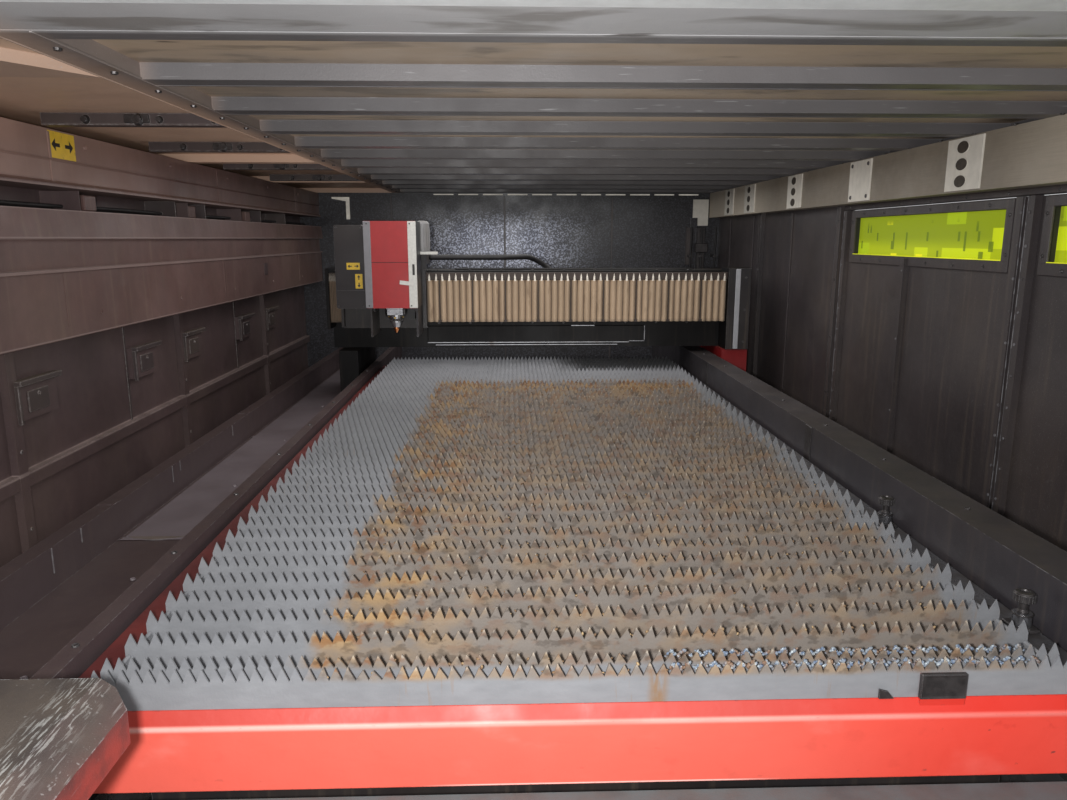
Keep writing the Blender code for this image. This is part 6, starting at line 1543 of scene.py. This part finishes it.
class MACHINE_OT_head(bpy.types.Operator):
    """Finish the carriage and the cutting head, with trims, plates, motor and fittings"""
    bl_idname = "laser_cutter.head"
    bl_label = "Carriage and Head"

    def execute(self, context):
        coat(frame_paint(), "carriage_frame")
        coat(coated("box_paint"), "electronics_box")
        coat(head_paint(), "head_cover")
        coat(coated("motor_grey"), "z_motor")
        coat(bright_steel(), "cutting_head")
        coat(plain("copper"), "nozzle")
        self.cover_trims()
        self.box_fittings()
        self.motor_fittings()
        self.head_fittings()
        return {"FINISHED"}

    def cover_trims(self):
        """The cover's side strips, split line, black slot, tape and plain sign."""
        low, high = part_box("head_cover")
        front = low.y
        mesh = bmesh.new()
        add_block(mesh, (low.x + 0.0005, front - 0.0024, low.z + 0.001),
                  (low.x + 0.034, front + 0.012, high.z - 0.001), bevel=0.0020, segments=2)
        add_block(mesh, (high.x - 0.038, front - 0.0024, low.z + 0.001),
                  (high.x - 0.0005, front + 0.012, high.z - 0.001), bevel=0.0020, segments=2, index=1)
        add_block(mesh, (high.x - 0.020, front - 0.0030, 1.424), (high.x - 0.009, front, 1.474), bevel=0.0008,
                  index=2)
        split = low.z + 0.53 * (high.z - low.z)
        add_block(mesh, (low.x + 0.034, front - 0.0006, split - 0.0013),
                  (high.x - 0.038, front + 0.001, split + 0.0013), index=3)
        tape = Matrix.Rotation(math.radians(7), 4, "Y")
        add_block(mesh, (high.x - 0.080, front - 0.0034, 1.378), (high.x - 0.004, front - 0.0022, 1.396), index=1,
                  turn=tape)
        add_discs(mesh, ((low.x + 0.017, high.x - 0.028), front - 0.0020, (low.z + 0.012, high.z - 0.012)), FRONT,
                  0.0035, 0.002, sink=0.001, index=2)
        finish_piece(mesh, "cover_trims", [coated("strip_grey"), plain("tape_white"), plain("sign_black"),
                                           plain("seam_red")], "carriage")

    def box_fittings(self):
        """Plates, screws and seams on the dark box left of the head."""
        low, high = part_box("electronics_box")
        add_arrow_plate("cross_plate", "carriage", (-0.752, low.y, 1.462), FRONT, RIGHT, 0.062, 0.032)
        add_arrow_plate("height_plate", "carriage", (-0.728, low.y, 1.392), FRONT, UP, 0.068, 0.034)
        mesh = bmesh.new()
        add_discs(mesh, ((low.x + 0.010, high.x - 0.010), low.y + 0.0004, (low.z + 0.012, high.z - 0.012)), FRONT,
                  0.0045, 0.0025, sink=0.0012)
        add_block(mesh, (low.x + 0.001, low.y - 0.0004, low.z + 0.085),
                  (high.x - 0.001, low.y + 0.001, low.z + 0.0865))
        finish_piece(mesh, "box_fittings", [dark_steel()], "carriage")

    def motor_fittings(self):
        """Cooling ribs and plugs of the Z motor, and the pale bracket under it."""
        low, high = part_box("z_motor")
        middle = (low + high) / 2
        radius = (high.x - low.x) / 2
        mesh = bmesh.new()
        for number in range(15):
            angle = math.tau * number / 15
            direction = Vector((math.cos(angle), math.sin(angle), 0))
            point = Vector((middle.x, middle.y, low.z)) + direction * (radius - 0.0006)
            turn = Matrix.Rotation(angle, 4, "Z")
            add_block(mesh, point + Vector((-0.002, -0.0022, 0.012)), point + Vector((0.0025, 0.0022, 0.112)),
                      bevel=0.0007, turn=turn)
        add_disc(mesh, (middle.x, middle.y, high.z - 0.0002), UP, radius * 0.5, 0.002, sides=20)
        add_block(mesh, (-0.4440, 2.1000, 1.5150), (-0.3640, 2.1600, 1.5275), bevel=0.0012, index=1)
        finish_piece(mesh, "motor_fittings", [coated("motor_grey"), plain("tape_white"), frame_paint()], "carriage")

    def head_fittings(self):
        """Hoses, couplings, sensor plug and lens drawer on the moving head, and the skirts' edges."""
        low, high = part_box("cutting_head")
        x, y = (low.x + high.x) / 2, 2.045
        mesh = bmesh.new()
        add_block(mesh, (x - 0.040, y - 0.0405, 1.262), (x + 0.040, y - 0.034, 1.330), bevel=0.002)
        for dx in (-0.026, 0.026):
            add_discs(mesh, (x + dx, y - 0.0405, (1.272, 1.320)), FRONT, 0.0045, 0.003, sink=0.0015, index=1)
        add_block(mesh, (x + 0.036, y - 0.020, 1.236), (x + 0.047, y + 0.012, 1.262), bevel=0.002, index=1)
        add_lathe(mesh, [(0.0302, 0), (0.0325, 0.002), (0.0325, 0.010), (0.0302, 0.012)], (x, y, 1.205), steps=24,
                  index=1)
        for number in range(18):
            angle = math.tau * number / 18
            point = Vector((x + 0.0325 * math.cos(angle), y + 0.0325 * math.sin(angle), 1.211))
            add_block(mesh, point - Vector((0.001, 0.001, 0.004)), point + Vector((0.001, 0.001, 0.004)), index=1)
        add_cable(mesh, [(x + 0.030, y - 0.010, 1.228), (x + 0.046, y - 0.018, 1.226),
                         (x + 0.052, y - 0.006, 1.250), (x + 0.048, y + 0.030, 1.290),
                         (x + 0.043, y + 0.045, 1.33)], 0.0035, index=2)
        add_cable(mesh, [(x - 0.030, y - 0.006, 1.226), (x - 0.046, y - 0.012, 1.222), (x - 0.052, y, 1.250),
                         (x - 0.048, y + 0.030, 1.290), (x - 0.043, y + 0.045, 1.33)], 0.0035, index=2)
        for side in (-1, 1):
            add_disc(mesh, (x + side * 0.0285, y - 0.006, 1.226), (side, 0, 0), 0.0055, 0.010, sides=12, index=3)
        add_disc(mesh, (x, y - 0.0285, 1.222), FRONT, 0.005, 0.010, sides=12, index=3)
        finish_piece(mesh, "head_fittings", [bright_steel(), dark_steel(), rubber(), plain("brass")], "head")

        skirts = bmesh.new()
        low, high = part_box("head_cover")
        for left in (low.x + 0.008, high.x - 0.016):
            add_block(skirts, (left - 0.0006, 2.0185, 1.1305), (left + 0.0086, 2.0215, 1.2710), bevel=0.0008)
        for left in (low.x + 0.0155, high.x - 0.026):
            add_block(skirts, (left, 2.06, 1.245), (left + 0.010, 2.14, 1.270), bevel=0.002, index=1)
        finish_piece(skirts, "skirt_edges", [coated("box_paint"), dark_steel()], "carriage")


class MACHINE_OT_front(bpy.types.Operator):
    """Finish the front frame, lift door, loading station, drive hood and console"""
    bl_idname = "laser_cutter.front"
    bl_label = "Front and Console"

    def execute(self, context):
        coat(skin_paint(), "front_frame", "door_leaf_lower", "door_leaf_upper")
        coat(frame_paint(), "station_frame")
        coat(hood_cover_paint(), "drive_hood")
        coat(coated("case_grey"), "console")
        coat(guard_paint(), "console_arm")
        coat(plain("red_plastic"), "stop_button")
        self.frame_fittings()
        self.leaf_fittings()
        self.station_fittings()
        self.hood_fittings()
        self.console_fittings()
        return {"FINISHED"}

    def frame_fittings(self):
        mesh = bmesh.new()
        for side in (-1, 1):
            x = side * 1.34
            for z in (0.12, 0.55, 1.00, 1.45, 1.90, 2.30):
                for dx in (-0.04, 0.04):
                    add_disc(mesh, (x + dx, -0.8804, z), FRONT, 0.008, 0.004, sides=12, sink=0.002, index=1)
            add_block(mesh, (x - 0.054, -0.8825, 0.06), (x - 0.050, -0.8795, 2.40), bevel=0.001)
            add_block(mesh, (x + 0.050, -0.8825, 0.06), (x + 0.054, -0.8795, 2.40), bevel=0.001)
            add_block(mesh, (x - 0.056, -0.8830, 0.052), (x + 0.056, -0.8795, 0.16), bevel=0.0015)
        add_discs(mesh, (spaced(-1.2, 1.25, 0.24), -0.8004, 1.930), FRONT, 0.007, 0.004, sides=12, sink=0.002,
                  index=1)
        add_block(mesh, (-1.279, -0.803, 1.881), (1.279, -0.799, 1.886), bevel=0.001)
        finish_piece(mesh, "frame_fittings", [skin_paint(), dark_steel()], "machine")

    def leaf_fittings(self):
        """Folds, rubber lip and pull on each door leaf."""
        for name in ("lower", "upper"):
            low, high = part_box("door_leaf_" + name)
            mesh = bmesh.new()
            for x in (-0.86, -0.43, 0.0, 0.43, 0.86):
                add_block(mesh, (x - 0.012, low.y + 0.0042, low.z + 0.014),
                          (x + 0.012, low.y + 0.013, high.z - 0.014), bevel=0.002)
            add_block(mesh, (low.x + 0.03, low.y + 0.002, low.z),
                      (high.x - 0.03, low.y + 0.014, low.z + 0.004), bevel=0.0015, index=1)
            if name == "lower":
                add_block(mesh, (-0.16, low.y - 0.0085, low.z + 0.055), (0.16, low.y + 0.0005, low.z + 0.067),
                          bevel=0.003, index=2)
                for x in (-0.15, 0.15):
                    add_block(mesh, (x - 0.008, low.y - 0.0085, low.z + 0.045),
                              (x + 0.008, low.y + 0.0005, low.z + 0.077), bevel=0.003, index=2)
                add_block(mesh, (-0.62, low.y - 0.002, low.z + 0.17), (0.62, low.y + 0.001, high.z - 0.12),
                          bevel=0.001, index=3)
            finish_piece(mesh, "leaf_fittings_" + name, [skin_paint(), rubber(), dark_steel(), head_paint()],
                         "leaf_" + name)

    def station_fittings(self):
        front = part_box("station_frame")[0].y
        mesh = bmesh.new()
        for x in (-0.79, 0.99):
            add_discs(mesh, (x, spaced(front + 0.12, -0.95, 0.30), 0.6903), UP, 0.007, 0.004, sink=0.002)
            add_disc(mesh, (x, front + 0.012, 0.62), FRONT, 0.031, 0.0115, sides=24, index=1)
            add_discs(mesh, (x, (-4.0, -2.52, -1.04), 0.045), DOWN, 0.034, 0.018, sides=6, top=1.0)
        finish_piece(mesh, "station_fittings", [dark_steel(), rubber()], "machine")

    def hood_fittings(self):
        low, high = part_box("drive_hood")
        mesh = bmesh.new()
        for y in (low.y + 0.05, -1.36, high.y - 0.05):
            add_disc(mesh, (-1.08, y, high.z), UP, 0.007, 0.003, sink=0.0018)
            add_disc(mesh, (low.x + 0.0004, y, 0.90), LEFT, 0.007, 0.004, sink=0.002)
        for z in (0.30, 0.34, 0.38, 0.42, 0.46):
            add_block(mesh, (low.x - 0.0015, -1.62, z), (low.x + 0.001, -1.10, z + 0.016), bevel=0.0015)
        finish_piece(mesh, "drive_hood_fittings", [dark_steel()], "machine")

    def console_fittings(self):
        """The screen with its frame, the keys, knobs and the button's collar."""
        low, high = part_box("console")
        front = -1.3183
        mesh = bmesh.new()
        left, right = low.x + 0.045, high.x - 0.045
        bottom, top = 1.215, high.z - 0.045
        add_block(mesh, (left, front - 0.006, bottom), (right, front + 0.001, top), bevel=0.003, segments=2)
        face = min(mesh.faces, key=lambda item: item.calc_center_median().y)
        bmesh.ops.inset_individual(mesh, faces=[face], thickness=0.012, depth=-0.003)
        face.material_index = 1
        shelf = low.z + 0.030
        for row in range(3):
            for column in range(8):
                x = low.x + 0.050 + column * 0.036
                y = low.y + 0.030 + row * 0.036
                add_block(mesh, (x, y, shelf - 0.0005), (x + 0.026, y + 0.026, shelf + 0.005), bevel=0.0018,
                          index=2 if (row + column) % 4 else 3)
        for x in (high.x - 0.035, high.x - 0.085):
            add_lathe(mesh, [(0.013, 0), (0.013, 0.010), (0.011, 0.012), (0, 0.012)], (x, low.y + 0.10, shelf),
                      steps=20, index=2)
        add_discs(mesh, ((low.x + 0.015, high.x - 0.015), front + 0.0004, (low.z + 0.05, high.z - 0.02)), FRONT,
                  0.005, 0.003, sink=0.0015, index=2)
        middle = middle_of("stop_button")
        add_ring(mesh, (middle.x, middle.y, shelf), UP, 0.017, 0.003, steps=24, index=4)
        finish_piece(mesh, "console_fittings", [coated("case_grey"), screen_glass(), dark_steel(), guard_paint(),
                                                sign_yellow()], "panel")


class MACHINE_OT_rear(bpy.types.Operator):
    """Finish the cabinet, its doors and handles, and the laser source"""
    bl_idname = "laser_cutter.rear"
    bl_label = "Rear Cabinet"

    def execute(self, context):
        coat(skin_paint(), "cabinet", "cabinet_door_left", "cabinet_door_right")
        coat(rubber(), "cabinet_handle_left", "cabinet_handle_right")
        coat(guard_paint(), "laser_source")
        for name, side in (("left", -1), ("right", 1)):
            low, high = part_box("cabinet_door_" + name)
            mesh = bmesh.new()
            middle = (low.x + high.x) / 2
            for number in range(14):
                z = 0.22 + number * 0.018
                add_block(mesh, (middle - 0.22, high.y - 0.0004, z), (middle + 0.22, high.y + 0.006, z + 0.011),
                          bevel=0.002, turn=Matrix.Rotation(math.radians(10), 4, "X"))
            add_block(mesh, (low.x + 0.03, high.y - 0.0004, low.z + 0.03),
                      (high.x - 0.03, high.y + 0.0012, low.z + 0.036), bevel=0.0005)
            add_block(mesh, (low.x + 0.03, high.y - 0.0004, high.z - 0.036),
                      (high.x - 0.03, high.y + 0.0012, high.z - 0.03), bevel=0.0005)
            edge = side * 1.285
            for z in (0.20, 0.90, 1.60):
                add_block(mesh, (edge - 0.012, high.y - 0.0004, z), (edge + 0.012, high.y + 0.010, z + 0.07),
                          bevel=0.004, segments=2, index=1)
            finish_piece(mesh, "cabinet_door_fittings_" + name, [skin_paint(), dark_steel()], "cabinet_" + name)
        low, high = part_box("laser_source")
        mesh = bmesh.new()
        for number in range(9):
            z = 0.16 + number * 0.020
            add_block(mesh, (-1.18, high.y - 0.0004, z), (-0.66, high.y + 0.004, z + 0.010), bevel=0.0015)
        add_discs(mesh, ((low.x + 0.02, high.x - 0.02), high.y - 0.0004, (low.z + 0.02, high.z - 0.02)), BACK,
                  0.007, 0.004, sink=0.002)
        add_block(mesh, (-1.10, high.y - 0.0004, 0.50), (-0.92, high.y + 0.003, 0.60), bevel=0.0015, index=1)
        finish_piece(mesh, "source_fittings", [dark_steel(), screen_glass()], "machine")
        mesh = bmesh.new()
        for number in range(4):
            x = 0.04 + number * 0.315
            for row in range(8):
                z = 0.98 + row * 0.034
                add_block(mesh, (x + 0.02, 3.8195, z), (x + 0.16, 3.8245, z + 0.014), bevel=0.0015)
            add_block(mesh, (x + 0.05, 3.8195, 1.262), (x + 0.13, 3.826, 1.282), bevel=0.0015)
        points = [(0.10, 3.75, 0.94), (0.12, 3.80, 0.80), (0.40, 3.86, 0.62), (0.70, 3.84, 0.55),
                  (0.98, 3.80, 0.70), (1.06, 3.75, 0.94)]
        add_cable(mesh, points, 0.010)
        finish_piece(mesh, "rack_fittings", [rubber()], "machine")
        return {"FINISHED"}


@finish
def floor_paint():
    made = Finish("floor_finish", (0.62, 0.62, 0.61), roughness=0.8)
    made.shade(1.5, 3, 0.97, 1.03)
    return made


class MACHINE_OT_stage(bpy.types.Operator):
    """Add the floor, the soft lights, the pale surroundings and the camera"""
    bl_idname = "laser_cutter.stage"
    bl_label = "Stage"

    def execute(self, context):
        scene = context.scene
        mesh = bmesh.new()
        bmesh.ops.create_grid(mesh, x_segments=1, y_segments=1, size=14)
        data = bpy.data.meshes.new("floor")
        mesh.to_mesh(data)
        mesh.free()
        floor = bpy.data.objects.new("floor", data)
        scene.collection.objects.link(floor)
        data.materials.append(floor_paint())
        self.surroundings(scene)
        self.lamp("front_light", (-0.10, -1.80, 1.575), (-0.02, 1.2, 1.02), (0.05, 0.05), 31)
        self.lamp("cabin_light", (0.1, 1.9, 1.855), (0.1, 1.9, 0.0), (1.8, 2.6), 22)
        self.lamp("roof_light", (0.1, 1.5, 1.02), (0.1, 1.5, 3.0), (1.3, 2.4), 6)
        self.camera(scene)
        scene.view_settings.view_transform = "Standard"
        return {"FINISHED"}

    def surroundings(self, scene):
        """Pale background for the camera and for gloss, and even light on the machine."""
        world = scene.world or bpy.data.worlds.new("surroundings")
        scene.world = world
        world.use_nodes = True
        nodes, links = world.node_tree.nodes, world.node_tree.links
        back = nodes["Background"]
        back.inputs["Color"].default_value = (0.86, 0.87, 0.88, 1)
        path = nodes.new("ShaderNodeLightPath")
        seen = nodes.new("ShaderNodeMath")
        seen.operation = "MAXIMUM"
        links.new(path.outputs["Is Camera Ray"], seen.inputs[0])
        links.new(path.outputs["Is Transmission Ray"], seen.inputs[1])
        level = nodes.new("ShaderNodeMapRange")
        links.new(seen.outputs[0], level.inputs["Value"])
        level.inputs["To Min"].default_value = 0.75
        level.inputs["To Max"].default_value = 0.95
        links.new(level.outputs[0], back.inputs["Strength"])

    def lamp(self, name, place, target, size, power):
        light = bpy.data.lights.new(name, "AREA")
        light.shape, light.size, light.size_y, light.energy = "RECTANGLE", size[0], size[1], power
        lamp = bpy.data.objects.new(name, light)
        lamp.location = place
        direction = Vector(target) - Vector(place)
        lamp.rotation_euler = direction.to_track_quat("-Z", "Y").to_euler()
        lamp.visible_camera = False
        bpy.context.scene.collection.objects.link(lamp)
        return lamp

    def camera(self, scene):
        choice = settings().stage
        data = bpy.data.cameras.new("view")
        data.sensor_width, data.lens = 36, choice.lens
        data.clip_start, data.clip_end = 0.05, 100
        camera = bpy.data.objects.new("view", data)
        camera.location = choice.eye
        camera.rotation_euler = (math.pi / 2 - choice.tilt, 0, -choice.turn)
        scene.collection.objects.link(camera)
        scene.camera = camera


BUILD_STEPS = (MACHINE_OT_stage, MACHINE_OT_slats, MACHINE_OT_pallet, MACHINE_OT_bed, MACHINE_OT_cabin,
               MACHINE_OT_roof, MACHINE_OT_gantry, MACHINE_OT_head, MACHINE_OT_front, MACHINE_OT_rear)


class MACHINE_PT_builder(bpy.types.Panel):
    """Lists the machine's settings and the steps that build it"""
    bl_label = "Laser Cutting Machine"
    bl_idname = "MACHINE_PT_builder"
    bl_space_type = "VIEW_3D"
    bl_region_type = "UI"
    bl_category = "Laser Cutter"

    def draw(self, context):
        layout = self.layout
        for group in (settings().slats, settings().bellows, settings().paints, settings().stage):
            box = layout.box()
            for name in group.__annotations__:
                box.prop(group, name)
        for step in BUILD_STEPS:
            layout.operator(step.bl_idname)


CLASSES = (SlatSettings, PaintSettings, BellowsSettings, StageSettings, MachineSettings, *BUILD_STEPS,
           MACHINE_PT_builder)


def register():
    for item in CLASSES:
        bpy.utils.register_class(item)
    bpy.types.Scene.laser_cutter = PointerProperty(type=MachineSettings)


def unregister():
    del bpy.types.Scene.laser_cutter
    for item in reversed(CLASSES):
        bpy.utils.unregister_class(item)


def main():
    register()
    for step in BUILD_STEPS:
        group, name = step.bl_idname.split(".")
        getattr(getattr(bpy.ops, group), name)()


if __name__ == "__main__":
    main()
